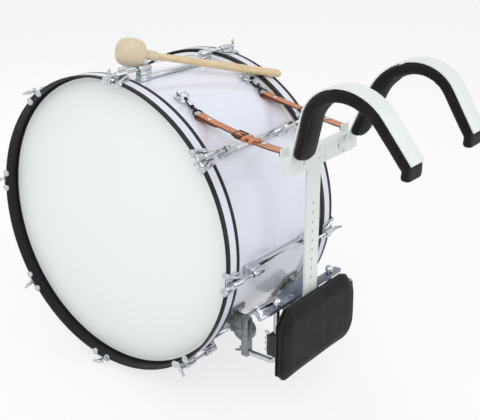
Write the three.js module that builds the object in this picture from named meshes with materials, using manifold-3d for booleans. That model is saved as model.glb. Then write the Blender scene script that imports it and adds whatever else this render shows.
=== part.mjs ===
// A 24 by 12 inch marching bass drum with its over-the-shoulder carrier and its felt mallet.
// Millimetres. +X runs along the drum to the wearer's right, +Y is the way the wearer faces, +Z is up.
// The drum's middle is the point that every sub-part is placed from; the finished object is then
// set down with the middle of its outline over the origin and its lowest point on the ground.

import * as THREE from 'three';
import { mergeVertices } from 'three/addons/utils/BufferGeometryUtils.js';
import Module from 'manifold-3d';

const wasm = await Module();
wasm.setup();

// Shell, heads and hoops
const shell_radius = 303;
const shell_depth = 305;
const shell_wall = 6;
const bearing_edge_width = 3;
const film_thickness = 1;
const film_collar_drop = 0.5;
const film_collar_width = 1;
const flesh_ring_depth = 10.3;
const flesh_ring_width = 7.4;
const flesh_ring_gap = 0.6;
const hoop_ring_gap = 3;
const hoop_thickness = 4;
const hoop_width = 39;
const hoop_edge_round = 1.5;
const hoop_flange_overlap = 1.5;
const hoop_flange_thickness = 3;
const hoop_skirt = 9;
const round_sides = 64;
const running_gap = 0.3;
const overrun = 2;

// Tension hardware: eight stations round the drum, each with a long double-ended lug and two rods
const station_count = 8;
const first_station_angle = 7;
const rod_standoff = 10;
const rod_radius = 3;
const rod_bore_gap = 0.8;
const rod_reach_past_hoop = 9;
const rod_grip_in_lug = 26;
const handle_bar_length = 34;
const handle_turns = [63, 18, 84, 75, 58, 96, 160, 80];
const lug_end_inset = 40;
const lug_block_length = 34;
const lug_block_width = 18;
const lug_tube_radius = 7.5;
const lug_bar_width = 12;
const lug_bar_height = 10;
const claw_plate_length = 50;
const claw_plate_width = 35;
const claw_plate_thickness = 4;
const claw_corner_share = 2;
const claw_tube_radius = 6.5;
const claw_tube_length = 26;
const prong_radius = 8;
const prong_thickness = 3.5;
const prong_spacing = 36;
const seat_bite = 1.5;

// Carrier: the spine and the cross plate behind the drum
const spine_standoff = 79.5;
const spine_thickness = 5;
const spine_width = 46;
const spine_top_inset = 4;
const spine_bottom = -165;
const spine_hole_radius = 3.5;
const spine_hole_pitch = 20;
const spine_hole_count = 9;
const spine_first_hole_drop = 120;
const channel_length = 220;
const channel_height = 38;
const channel_depth = 18;
const channel_wall = 3;
const channel_drop = 89;
const bolt_radius = 3.2;
const bolt_head_radius = 6;
const bolt_head_height = 3;
const spine_bolt_spread = 18;
const strap_tab_width = 27;
const strap_tab_height = 14;

// Shoulder bows: a foot on the cross plate, a leg that leans back, an arc and a back leg. Each bow
// also leans and splays outwards, by shares of the height above and the distance behind its foot.
const bow_foot_x = 96;
const bow_lean_share = 0.18;
const bow_splay_share = 0.06;
const bow_plate_width = 44;
const bow_plate_thickness = 3;
const bow_foot_height = 18.6;
const bow_front_leg = 108.9;
const bow_inner_radius = 94.6;
const bow_front_angle = 18.6;
const bow_back_angle = 35;
const bow_back_leg = 86;
const bow_foot_inset = 4;
const bow_steps = 16;
const shoulder_pad_width = 56;
const shoulder_pad_thickness = 23;
const shoulder_pad_above_bend = 20;
const shoulder_pad_tail_drop = 31;
const shoulder_pad_crown = 4;
const shoulder_pad_edge_round = 5;
const shoulder_pad_end_share = 0.86;
const shoulder_pad_end_length = 9;
const slot_travel = 12;
const bow_tongue_share = 1.5;

// Lower frame: crossbar with its spine sleeve, two bent leg rods and their brackets on the shell
const leg_rod_inset = 57.5;
const leg_rod_standoff = 68;
const leg_rod_radius = 6;
const leg_rod_top = -93.5;
const leg_cap_radius = 8.5;
const leg_cap_height = 10;
const leg_cap_standoff = 6;
const leg_cap_rim_share = 0.4;
const leg_cap_shoulder_share = 0.85;
const leg_cap_shoulder_radius_share = 0.7;
const leg_run_z = -227;
const leg_bend_radius = 16;
const leg_bend_steps = 5;
const leg_sides = 12;
const leg_stud_radius = 3;
const leg_stud_length = 10;
const crossbar_overhang = 35;
const crossbar_height = 8;
const crossbar_depth = 16;
const crossbar_z = -104;
const sleeve_wall = 3.1;
const sleeve_height = 22;
const sleeve_bite = 1.5;
const web_thickness = 3;
const web_reach = 36;
const web_rise = 44;
const web_skirt = 8;
const crossbar_bolt_drop = 10;
const hanger_width = 18;
const hanger_depth = 17;
const hanger_set_back = 17.6;
const hanger_seat = 26.2;
const hanger_below_rod = 8.6;
const casting_arm_reach = 34;
const casting_arm_drop = 6;
const casting_disc_radius = 25;
const casting_disc_width = 18;
const casting_disc_inset = 15;
const casting_disc_drop = 15.3;
const casting_standoff = 25.6;
const casting_station_angle = 211.6;
const casting_foot_width = 48;
const casting_foot_length = 62;
const casting_foot_thickness = 4.5;

// Belly plate, its pad and its clamps
const belly_standoff = 89;
const belly_plate_thickness = 3;
const belly_overhang = 43;
const belly_wing_length = 24;
const belly_wing_radius = 120;
const belly_top = -91;
const belly_bottom = -251;
const belly_top_corner = 34;
const belly_bottom_corner = 32;
const belly_plate_inset = 7;
const belly_corner_share = 0.98;
const belly_pad_thickness = 21;
const belly_pad_edge_thickness = 13;
const belly_pad_crown_reach = 26;
const clamp_width = 28;
const clamp_height = 44;
const clamp_middle_z = -186;
const clamp_reach = 13;
const clamp_bore_gap = 0.4;
const clamp_screw_gap = 3.4;
const wing_pair_spacing = 26;
const wing_span = 22;
const wing_height = 10;
const wing_thickness = 3;
const wing_hub_radius = 4.5;
const wing_hub_length = 8;

// Straps between the carrier and the shell. The right ring is swung outwards by its strap's pull.
const strap_width = 26;
const strap_thickness = 7;
const strap_steps = 8;
const strap_end_inset = 6;
const strap_end_rise = 7;
const strap_middle_rise = 13;
const left_strap_middle_inset = 61.5;
const right_strap_middle_inset = 22.5;
const left_eye_inset = 60.5;
const right_eye_inset = 34.5;
const left_ring_swing = 0;
const right_ring_swing = 14;
const left_ring_lean = 36;
const right_ring_lean = 5;
const eye_station_angle = 114;
const ring_rod_radius = 2;
const ring_radius = 12;
const eye_radius = 5;
const eye_foot_radius = 8;
const eye_foot_height = 3;
const eye_height = 4;
const eye_cover_share = 1.5;
const hook_fall = 38;
const hook_length = 50;
const hook_width = 15;
const hook_thickness = 5;
const hook_wall = 3.2;
const hook_neck_width = 6;
const hook_throat_start = 3;
const hook_throat_end = 13;
const hook_nose_share = 1.6;

// Mallet lying across the top of the drum
const mallet_head_radius = 29.5;
const mallet_head_reach = 28;
const mallet_head_side_share = 0.5;
const mallet_head_end_share = 0.68;
const mallet_head_inset = 48.5;
const mallet_head_angle = 92.1;
const mallet_head_rise = 27.2;
const mallet_tip_overhang = 37.5;
const mallet_tip_angle = 121.7;
const mallet_tip_rise = 11.3;
const mallet_neck_radius = 7;
const mallet_grip_radius = 9;
const mallet_grip_end_radius = 6;
const mallet_socket_depth = 27;
const mallet_collar_radius = 10;
const mallet_collar_length = 30;
const mallet_swell_share = 0.78;
const mallet_grip_share = 0.95;

// Worked out from the sizes above
const half_shell = shell_depth / 2;
const lug_length = shell_depth - 2 * lug_end_inset;
const film_inner = half_shell + running_gap;
const film_outer = film_inner + film_thickness;
const flesh_ring_front = film_outer - film_collar_drop;
const flesh_ring_inner_radius = shell_radius + flesh_ring_gap;
const flesh_ring_outer_radius = flesh_ring_inner_radius + flesh_ring_width;
const flange_back = flesh_ring_front + running_gap;
const hoop_back = flange_back - hoop_skirt;
const hoop_front = hoop_back + hoop_width;
const hoop_inner_radius = flesh_ring_outer_radius + hoop_ring_gap;
const hoop_radius = hoop_inner_radius + hoop_thickness;
const hoop_flange_radius = flesh_ring_outer_radius - hoop_flange_overlap;
const rod_circle_radius = hoop_radius + rod_standoff;
const spine_face_y = -shell_radius - spine_standoff;
const spine_back_y = spine_face_y - spine_thickness;
const channel_top = shell_radius - channel_drop;
const spine_top = channel_top - spine_top_inset;
const spine_first_hole = spine_top - spine_first_hole_drop;
const channel_front_y = spine_back_y - running_gap;
const channel_back_y = channel_front_y - channel_depth;
const channel_bottom = channel_top - channel_height;
const bow_foot_y = channel_back_y - running_gap;
const strap_tab_y = channel_front_y - channel_wall;
const strap_end_x = channel_length / 2 - strap_end_inset;
const left_strap_middle_x = left_strap_middle_inset - half_shell;
const right_strap_middle_x = half_shell - right_strap_middle_inset;
const strap_end_z = channel_top + strap_end_rise;
const strap_middle_z = channel_top + strap_middle_rise;
const leg_rod_x = half_shell - leg_rod_inset;
const leg_rod_y = -shell_radius - leg_rod_standoff;
const crossbar_half_length = leg_rod_x + crossbar_overhang;
const belly_face_y = -shell_radius - belly_standoff;
const belly_half_width = leg_rod_x + belly_overhang;
const belly_flat_half_width = belly_half_width - belly_wing_length;
const clamp_front_y = leg_rod_y + clamp_reach;
const left_eye_x = left_eye_inset - half_shell;
const right_eye_x = half_shell - right_eye_inset;
const mallet_head_x = mallet_head_inset - half_shell;
const mallet_tip_x = half_shell + mallet_tip_overhang;

const paint = (colour, roughness, metalness) => new THREE.MeshStandardMaterial({
  color: colour, roughness, metalness,
});
const white_lacquer = paint(0xe9ebf2, 0.22, 0);
const coated_film = paint(0xe8ebe9, 0.55, 0);
const black_lacquer = paint(0x17191b, 0.3, 0);
const chrome = paint(0xc9cccf, 0.18, 1);
const dark_steel = paint(0x7b8086, 0.4, 1);
const white_paint = paint(0xe6e8e4, 0.35, 0);
const black_foam = paint(0x222426, 0.9, 0);
const black_paint = paint(0x151617, 0.45, 0);
const tan_leather = paint(0xc07a4e, 0.55, 0);
const cream_felt = paint(0xe6d5ab, 0.95, 0);
const pale_wood = paint(0xd3b183, 0.45, 0);

const radians = (degrees) => THREE.MathUtils.degToRad(degrees);

// A place at some distance from the drum's line, at a station's angle from +Y towards +Z
const stationPlace = (x, distance, angle) => new THREE.Vector3(
  x, distance * Math.cos(radians(angle)), distance * Math.sin(radians(angle)),
);
const casting = stationPlace(0, shell_radius + casting_standoff, casting_station_angle);
const casting_y = casting.y;
const casting_z = casting.z;
const hanger_y = casting_y - hanger_set_back;
const hanger_top = casting_z + hanger_seat;

// A geometry as a solid that can be joined and cut
function solid(geometry) {
  const bare = geometry.clone();
  bare.deleteAttribute('normal');
  bare.deleteAttribute('uv');
  const merged = mergeVertices(bare);
  const vertProperties = new Float32Array(merged.attributes.position.array);
  const triVerts = new Uint32Array(merged.index.array);
  return new wasm.Manifold(new wasm.Mesh({ numProp: 3, vertProperties, triVerts }));
}

function geometryOf(body) {
  const mesh = body.getMesh();
  const geometry = new THREE.BufferGeometry();
  geometry.setAttribute('position', new THREE.BufferAttribute(new Float32Array(mesh.vertProperties), 3));
  geometry.setIndex(new THREE.BufferAttribute(new Uint32Array(mesh.triVerts), 1));
  geometry.computeVertexNormals();
  return geometry;
}

function joined(...geometries) {
  let whole = solid(geometries[0]);
  for (const geometry of geometries.slice(1)) {
    whole = whole.add(solid(geometry));
  }
  return geometryOf(whole);
}

function cut(geometry, ...tools) {
  let whole = solid(geometry);
  for (const tool of tools) {
    whole = whole.subtract(solid(tool));
  }
  return geometryOf(whole);
}

function common(first, second) {
  return geometryOf(solid(first).intersect(solid(second)));
}

// A box between two corners
function block(x0, x1, y0, y1, z0, z1) {
  const box = new THREE.BoxGeometry(Math.abs(x1 - x0), Math.abs(y1 - y0), Math.abs(z1 - z0));
  return box.translate((x0 + x1) / 2, (y0 + y1) / 2, (z0 + z1) / 2);
}

// Round bars along each axis, from one end to the other
function barAlongX(radius, x0, x1, y, z, sides = 12) {
  const bar = new THREE.CylinderGeometry(radius, radius, Math.abs(x1 - x0), sides);
  return bar.rotateZ(Math.PI / 2).translate((x0 + x1) / 2, y, z);
}

function barAlongY(radius, y0, y1, x, z, sides = 12) {
  const bar = new THREE.CylinderGeometry(radius, radius, Math.abs(y1 - y0), sides);
  return bar.translate(x, (y0 + y1) / 2, z);
}

function barAlongZ(radius, z0, z1, x, y, sides = 12) {
  const bar = new THREE.CylinderGeometry(radius, radius, Math.abs(z1 - z0), sides);
  return bar.rotateX(Math.PI / 2).translate(x, y, (z0 + z1) / 2);
}

// A body turned about the drum's axis. The profile is radius and distance from the drum's middle,
// and comes out on the left (-X) side; the right side is its mirror image.
function turned(profile) {
  const points = profile.map(([radius, distance]) => new THREE.Vector2(radius, distance));
  return new THREE.LatheGeometry(points, round_sides).rotateZ(Math.PI / 2);
}

// The mirror image on the other side of the drum, with its faces still pointing out
function mirrored(geometry) {
  const copy = geometry.index ? geometry.toNonIndexed() : geometry.clone();
  const position = copy.attributes.position;
  for (let i = 0; i < position.count; i += 3) {
    const corners = [0, 1, 2].map((k) => new THREE.Vector3().fromBufferAttribute(position, i + k));
    const order = [0, 2, 1];
    order.forEach((k, place) => position.setXYZ(i + place, -corners[k].x, corners[k].y, corners[k].z));
  }
  copy.computeVertexNormals();
  return copy;
}

// A closed skin through rings of points, with both ends closed
function skinned(rings) {
  const sides = rings[0].length;
  const places = rings.flat();
  const faces = [];
  for (let i = 0; i + 1 < rings.length; i += 1) {
    for (let k = 0; k < sides; k += 1) {
      const next = (k + 1) % sides;
      const a = i * sides + k;
      const b = i * sides + next;
      faces.push(a, b, b + sides, a, b + sides, a + sides);
    }
  }
  const closeEnd = (ring, start, flip) => {
    const middle = ring.reduce((sum, point) => sum.add(point), new THREE.Vector3());
    places.push(middle.divideScalar(sides));
    const centre = places.length - 1;
    for (let k = 0; k < sides; k += 1) {
      const next = (k + 1) % sides;
      faces.push(centre, start + (flip ? next : k), start + (flip ? k : next));
    }
  };
  closeEnd(rings[0], 0, true);
  closeEnd(rings[rings.length - 1], (rings.length - 1) * sides, false);
  const volume = () => {
    let sum = 0;
    for (let i = 0; i < faces.length; i += 3) {
      const [a, b, c] = [places[faces[i]], places[faces[i + 1]], places[faces[i + 2]]];
      sum += a.dot(new THREE.Vector3().crossVectors(b, c));
    }
    return sum;
  };
  if (volume() < 0) {
    faces.reverse();
  }
  const geometry = new THREE.BufferGeometry().setFromPoints(places);
  geometry.setIndex(faces);
  geometry.computeVertexNormals();
  return geometry;
}

// A section carried along a path. Each station has a place, a heading in the YZ plane and a section
// of [across X, out from the path] points.
function carried(stations) {
  return skinned(stations.map(({ x, y, z, heading, section }) => {
    const out = [-Math.sin(heading), Math.cos(heading)];
    return section.map(([across, lift]) => new THREE.Vector3(
      x + across, y + lift * out[0], z + lift * out[1],
    ));
  }));
}

const flatSection = (width, low, high) => [
  [-width / 2, low], [width / 2, low], [width / 2, high], [-width / 2, high],
];

function roundSection(radius, sides) {
  return Array.from({ length: sides }, (_, k) => {
    const turn = (2 * Math.PI * k) / sides;
    return [radius * Math.cos(turn), radius * Math.sin(turn)];
  });
}

// A plate with its outline in the XZ plane, its thickness running from y towards the wearer
function plateFacingY(outline, holes, y, thickness) {
  const shape = new THREE.Shape(outline.map(([x, z]) => new THREE.Vector2(x, z)));
  for (const hole of holes) {
    shape.holes.push(hole);
  }
  const options = { depth: thickness, bevelEnabled: false, curveSegments: 4 };
  return new THREE.ExtrudeGeometry(shape, options).rotateX(Math.PI / 2).translate(0, y, 0);
}

function roundHole(x, z, radius) {
  return new THREE.Path().absarc(x, z, radius, 0, 2 * Math.PI, true);
}

const marching_bass_drum = new THREE.Group();

function add(name, geometry, material, parent = marching_bass_drum) {
  const mesh = new THREE.Mesh(geometry, material);
  mesh.name = name;
  parent.add(mesh);
  return mesh;
}

// Shell: a plywood tube with its two bearing edges cut to a slope on the inside
const shell_inner = shell_radius - shell_wall;
const bevel_start = half_shell - bearing_edge_width;
add('shell', turned([
  [shell_inner, -bevel_start],
  [shell_radius - bearing_edge_width, -half_shell],
  [shell_radius, -half_shell],
  [shell_radius, half_shell],
  [shell_radius - bearing_edge_width, half_shell],
  [shell_inner, bevel_start],
  [shell_inner, -bevel_start],
]), white_lacquer);

// Heads: a flat film that drops at its collar to its flesh ring, which sits round the end of the shell
function headGeometry() {
  const collar_start = flesh_ring_inner_radius + film_collar_width;
  return turned([
    [0, film_inner],
    [flesh_ring_inner_radius, film_inner],
    [flesh_ring_inner_radius, flesh_ring_front - flesh_ring_depth],
    [flesh_ring_outer_radius, flesh_ring_front - flesh_ring_depth],
    [flesh_ring_outer_radius, flesh_ring_front],
    [collar_start + film_collar_width, flesh_ring_front],
    [collar_start, film_outer],
    [0, film_outer],
  ]);
}
add('left_head', headGeometry(), coated_film);
add('right_head', mirrored(headGeometry()), coated_film);

// One claw over the left hoop at the +Y station: a plate on the hoop, two round noses over its front
// edge and a tube for the tension rod
function clawGeometry() {
  const front = -hoop_front;
  const seat = hoop_radius - seat_bite;
  const plate_top = hoop_radius + claw_plate_thickness;
  const half = claw_plate_length / 2;
  const corner = claw_plate_thickness * claw_corner_share;
  const outline = [
    [-half + corner, -prong_thickness], [half - corner, -prong_thickness],
    [half, corner], [half, claw_plate_width - corner],
    [half - corner, claw_plate_width], [-half + corner, claw_plate_width],
    [-half, claw_plate_width - corner], [-half, corner],
  ];
  const shape = new THREE.Shape(outline.map(([z, x]) => new THREE.Vector2(z, x)));
  const plate = new THREE.ExtrudeGeometry(shape, { depth: plate_top - seat, bevelEnabled: false });
  plate.rotateX(-Math.PI / 2).rotateY(-Math.PI / 2).translate(front, seat, 0);
  const pieces = [plate];
  for (const side of [-1, 1]) {
    const z = (side * prong_spacing) / 2;
    const nose = hoop_radius - hoop_thickness / 2;
    pieces.push(barAlongX(prong_radius, front - prong_thickness, front + seat_bite, nose, z, 8));
  }
  const tube_start = front + claw_plate_width - claw_tube_length;
  const tube_end = front + claw_plate_width;
  pieces.push(barAlongX(claw_tube_radius, tube_start, tube_end, rod_circle_radius, 0, 8));
  pieces.push(block(tube_start, tube_end, seat, rod_circle_radius, -claw_tube_radius, claw_tube_radius));
  const bore = barAlongX(rod_radius + rod_bore_gap, tube_start - overrun, tube_end + overrun,
    rod_circle_radius, 0, 6);
  return cut(joined(...pieces), bore);
}

const stationAngle = (index) => radians(first_station_angle + (360 / station_count) * index);

// Hoops: flat rings with an inner flange that presses on the flesh ring, each with its eight claws
// seated on it
function hoopGeometry() {
  const ring = turned([
    [hoop_inner_radius, hoop_back],
    [hoop_radius, hoop_back],
    [hoop_radius, hoop_front - hoop_edge_round],
    [hoop_radius - hoop_edge_round, hoop_front],
    [hoop_inner_radius, hoop_front],
    [hoop_inner_radius, flange_back + hoop_flange_thickness],
    [hoop_flange_radius, flange_back + hoop_flange_thickness],
    [hoop_flange_radius, flange_back],
    [hoop_inner_radius, flange_back],
    [hoop_inner_radius, hoop_back],
  ]);
  const claw = clawGeometry();
  const claws = Array.from({ length: station_count }, (_, index) => (
    claw.clone().rotateX(stationAngle(index))
  ));
  return joined(ring, ...claws);
}
const left_hoop_geometry = hoopGeometry();
add('left_hoop', left_hoop_geometry, black_lacquer);
add('right_hoop', mirrored(left_hoop_geometry), black_lacquer);

// Lug at the +Y station: two end blocks with tubes for the rods and a slim bar between them
function lugGeometry() {
  const foot = shell_radius + running_gap;
  const end = lug_length / 2;
  const block_start = end - lug_block_length;
  const half_block = lug_block_width / 2;
  const pieces = [block(-end, end, foot, foot + lug_bar_height, -lug_bar_width / 2, lug_bar_width / 2)];
  const bores = [];
  for (const side of [-1, 1]) {
    const foot_top = foot + lug_bar_height;
    pieces.push(block(side * block_start, side * end, foot, foot_top, -half_block, half_block));
    pieces.push(block(side * block_start, side * end, foot, rod_circle_radius,
      -lug_tube_radius, lug_tube_radius));
    pieces.push(barAlongX(lug_tube_radius, side * block_start, side * end, rod_circle_radius, 0, 8));
    bores.push(barAlongX(rod_radius + rod_bore_gap, side * (end - rod_grip_in_lug - overrun),
      side * (end + overrun), rod_circle_radius, 0, 6));
  }
  return cut(joined(...pieces), ...bores);
}

// Left tension rod at the +Y station: a threaded rod with a cross handle in front of the hoop, turned
// from the tangent
function rodGeometry(handle_turn) {
  const handle_x = -hoop_front - rod_reach_past_hoop;
  const tip_x = -lug_length / 2 + rod_grip_in_lug;
  const shaft = barAlongX(rod_radius, handle_x, tip_x, rod_circle_radius, 0, 6);
  const handle = barAlongZ(rod_radius, -handle_bar_length / 2, handle_bar_length / 2, handle_x, 0, 6);
  handle.rotateX(radians(handle_turn)).translate(0, rod_circle_radius, 0);
  return joined(shaft, handle);
}

for (let index = 0; index < station_count; index += 1) {
  const station = new THREE.Group();
  station.rotation.x = stationAngle(index);
  marching_bass_drum.add(station);
  add(`lug_${index + 1}`, lugGeometry(), chrome, station);
  const rod = rodGeometry(handle_turns[index]);
  add(`left_tension_rod_${index + 1}`, rod, chrome, station);
  add(`right_tension_rod_${index + 1}`, mirrored(rod), chrome, station);
}

// Spine: a flat aluminium bar with a row of height holes
function spineGeometry() {
  const half = spine_width / 2;
  const corner = spine_hole_radius * 2;
  const outline = [
    [-half + corner, spine_bottom], [half - corner, spine_bottom], [half, spine_bottom + corner],
    [half, spine_top], [-half, spine_top], [-half, spine_bottom + corner],
  ];
  const holes = Array.from({ length: spine_hole_count }, (_, index) => (
    roundHole(0, spine_first_hole - spine_hole_pitch * index, spine_hole_radius)
  ));
  return plateFacingY(outline, holes, spine_face_y, spine_thickness);
}
add('spine', spineGeometry(), white_paint);

const bow_bolt_x = bow_foot_x - slot_travel * 2 - bolt_head_radius;

// Cross plate: a shallow channel open towards the drum, bolted to the spine, with a slot at each end
// for a shoulder bow and a tab for each leather strap
function crossPlateGeometry() {
  const half = channel_length / 2;
  const bar = block(-half, half, channel_back_y, channel_front_y, channel_bottom, channel_top);
  const hollow = block(-half + channel_wall, half - channel_wall, channel_back_y + channel_wall,
    channel_front_y + overrun, channel_bottom + channel_wall, channel_top - channel_wall);
  const middle_z = (channel_top + channel_bottom) / 2;
  const slots = [-1, 1].map((side) => {
    const start = side * bow_bolt_x;
    const reach = slot_travel + bolt_radius + running_gap;
    return block(start - reach, start + reach, channel_back_y - overrun, channel_back_y + channel_wall
      + overrun, middle_z - bolt_radius - running_gap, middle_z + bolt_radius + running_gap);
  });
  const pieces = [cut(bar, hollow, ...slots)];
  for (const x of [-spine_bolt_spread / 2, spine_bolt_spread / 2]) {
    for (const z of [middle_z - spine_bolt_spread / 2, middle_z + spine_bolt_spread / 2]) {
      pieces.push(barAlongY(bolt_head_radius, channel_back_y + channel_wall / 2, channel_front_y, x, z, 8));
      pieces.push(barAlongY(bolt_head_radius, channel_back_y - bolt_head_height,
        channel_back_y + channel_wall / 2, x, z, 6));
    }
  }
  for (const side of [-1, 1]) {
    const x = side * strap_end_x;
    const half_tab = strap_tab_width / 2;
    pieces.push(block(x - half_tab, x + half_tab, strap_tab_y, strap_tab_y + channel_wall,
      channel_top - channel_wall / 2, channel_top + strap_tab_height));
  }
  return joined(...pieces);
}
add('cross_plate', crossPlateGeometry(), white_paint);

// A place on a shoulder bow, with its heading, going from the front over the top to the back. It lies
// at an angle on the bow's arc, or some way along the straight leg that leaves the arc there.
const bow_front_turn = radians(bow_front_angle);
const bow_back_turn = Math.PI - radians(bow_back_angle);
const bow_bend_y = bow_foot_y - bow_plate_thickness;
const bow_bend_z = channel_bottom + bow_foot_inset + bow_foot_height;
const bow_centre_y = bow_bend_y - bow_front_leg * Math.sin(bow_front_turn)
  - bow_inner_radius * Math.cos(bow_front_turn);
const bow_centre_z = bow_bend_z + bow_front_leg * Math.cos(bow_front_turn)
  - bow_inner_radius * Math.sin(bow_front_turn);
const bowX = (y, z) => -bow_foot_x - bow_lean_share * Math.max(0, z - channel_top)
  - bow_splay_share * (bow_foot_y - y);

function bowPlace(radius, angle, leg) {
  const heading = angle + Math.PI / 2;
  const y = bow_centre_y + radius * Math.cos(angle) + leg * Math.cos(heading);
  const z = bow_centre_z + radius * Math.sin(angle) + leg * Math.sin(heading);
  return { x: bowX(y, z), y, z, heading };
}

const bowArc = (radius) => Array.from({ length: bow_steps + 1 }, (_, index) => (
  bowPlace(radius, bow_front_turn + (bow_back_turn - bow_front_turn) * (index / bow_steps), 0)
));

// Shoulder plate: a bent strip whose foot is bolted to the cross plate through its slot
function shoulderPlateGeometry() {
  const section = flatSection(bow_plate_width, -bow_plate_thickness, 0);
  const straight = Math.PI / 2;
  const foot_y = bow_bend_y;
  const strip = carried([
    { x: -bow_foot_x, y: foot_y, z: channel_bottom + bow_foot_inset, heading: straight },
    { x: -bow_foot_x, y: foot_y, z: bow_bend_z, heading: straight + bow_front_turn / 2 },
    ...bowArc(bow_inner_radius),
    bowPlace(bow_inner_radius, bow_back_turn, bow_back_leg),
  ].map((place) => ({ ...place, section })));
  const bolt_x = -bow_bolt_x;
  const middle_z = (channel_top + channel_bottom) / 2;
  const web_inner_y = channel_back_y + channel_wall;
  const nut_start = web_inner_y + running_gap;
  const half_tongue = bolt_head_radius * bow_tongue_share;
  const tongue = block(-bow_foot_x, bolt_x + half_tongue, foot_y, bow_foot_y,
    middle_z - half_tongue, middle_z + half_tongue);
  const nut_end = nut_start + bolt_head_height;
  const bolt = barAlongY(bolt_radius, foot_y - bolt_head_height, nut_end, bolt_x, middle_z, 8);
  const head = barAlongY(bolt_head_radius, foot_y - bolt_head_height, foot_y + bow_plate_thickness / 2,
    bolt_x, middle_z, 6);
  const nut = barAlongY(bolt_head_radius, nut_start, nut_end, bolt_x, middle_z, 6);
  return joined(strip, tongue, bolt, head, nut);
}

// Shoulder pad: foam in a fabric cover, crowned on the side that lies on the shoulder, with its edges
// drawn in and its ends rounded
function shoulderPadGeometry() {
  const half = shoulder_pad_width / 2;
  const round = shoulder_pad_edge_round;
  const padSection = (share) => {
    const wide = half * share;
    const deep = shoulder_pad_thickness * share;
    return [
      [-wide + round, 0], [wide - round, 0], [wide, round], [wide, deep - round],
      [wide - round, deep], [0, deep + shoulder_pad_crown * share], [-wide + round, deep],
      [-wide, deep - round], [-wide, round],
    ];
  };
  const radius = bow_inner_radius - running_gap;
  const front_leg = bow_front_leg - shoulder_pad_above_bend;
  const back_end = bowPlace(radius, bow_back_turn, bow_back_leg);
  const tail = (drop) => ({
    x: back_end.x, y: back_end.y, z: back_end.z - drop, heading: Math.PI * (3 / 2),
  });
  return carried([
    { ...bowPlace(radius, bow_front_turn, -front_leg), section: padSection(shoulder_pad_end_share) },
    ...[
      bowPlace(radius, bow_front_turn, shoulder_pad_end_length - front_leg),
      ...bowArc(radius),
      back_end,
      tail(shoulder_pad_tail_drop - shoulder_pad_end_length),
    ].map((place) => ({ ...place, section: padSection(1) })),
    { ...tail(shoulder_pad_tail_drop), section: padSection(shoulder_pad_end_share) },
  ]);
}

const left_shoulder_plate = shoulderPlateGeometry();
const left_shoulder_pad = shoulderPadGeometry();
add('left_shoulder_plate', left_shoulder_plate, white_paint);
add('right_shoulder_plate', mirrored(left_shoulder_plate), white_paint);
add('left_shoulder_pad', left_shoulder_pad, black_foam);
add('right_shoulder_pad', mirrored(left_shoulder_pad), black_foam);

// Lower crossbar: a square bar with a sleeve that the spine slides in and two webs that brace it
function crossbarGeometry() {
  const half_depth = crossbar_depth / 2;
  const half_height = crossbar_height / 2;
  const bar = block(-crossbar_half_length, crossbar_half_length, leg_rod_y - half_depth,
    leg_rod_y + half_depth, crossbar_z - half_height, crossbar_z + half_height);
  const sleeve_x = spine_width / 2 + rod_bore_gap;
  const sleeve_front = spine_face_y + running_gap;
  const sleeve_back = spine_back_y - running_gap;
  const sleeve_top = crossbar_z - half_height + sleeve_bite;
  const sleeve = block(-sleeve_x - sleeve_wall, sleeve_x + sleeve_wall, sleeve_back - sleeve_wall,
    leg_rod_y, sleeve_top - sleeve_height, sleeve_top);
  const pocket = block(-sleeve_x, sleeve_x, sleeve_back, sleeve_front,
    sleeve_top - sleeve_height - overrun, sleeve_top + overrun);
  const pieces = [bar, sleeve];
  for (const side of [-1, 1]) {
    const x = side * (spine_width / 2);
    const web_bottom = crossbar_z - half_height - web_skirt;
    const web = new THREE.Shape([
      new THREE.Vector2(sleeve_front + running_gap, web_bottom),
      new THREE.Vector2(leg_rod_y + web_reach, web_bottom),
      new THREE.Vector2(leg_rod_y + web_reach, crossbar_z - half_height),
      new THREE.Vector2(sleeve_front + running_gap + web_thickness, crossbar_z + web_rise),
      new THREE.Vector2(sleeve_front + running_gap, crossbar_z + web_rise),
    ]);
    const sheet = new THREE.ExtrudeGeometry(web, { depth: web_thickness, bevelEnabled: false });
    sheet.rotateX(Math.PI / 2).rotateZ(Math.PI / 2).translate(x - web_thickness / 2, 0, 0);
    pieces.push(sheet);
    pieces.push(barAlongZ(bolt_head_radius, crossbar_z - half_height - crossbar_bolt_drop,
      crossbar_z, side * spine_width, leg_rod_y, 6));
  }
  const bores = [-1, 1].map((side) => barAlongZ(leg_rod_radius + running_gap,
    crossbar_z - crossbar_height, crossbar_z + crossbar_height, side * leg_rod_x, leg_rod_y, leg_sides));
  return cut(joined(...pieces), pocket, ...bores);
}
add('lower_crossbar', crossbarGeometry(), dark_steel);

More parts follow.
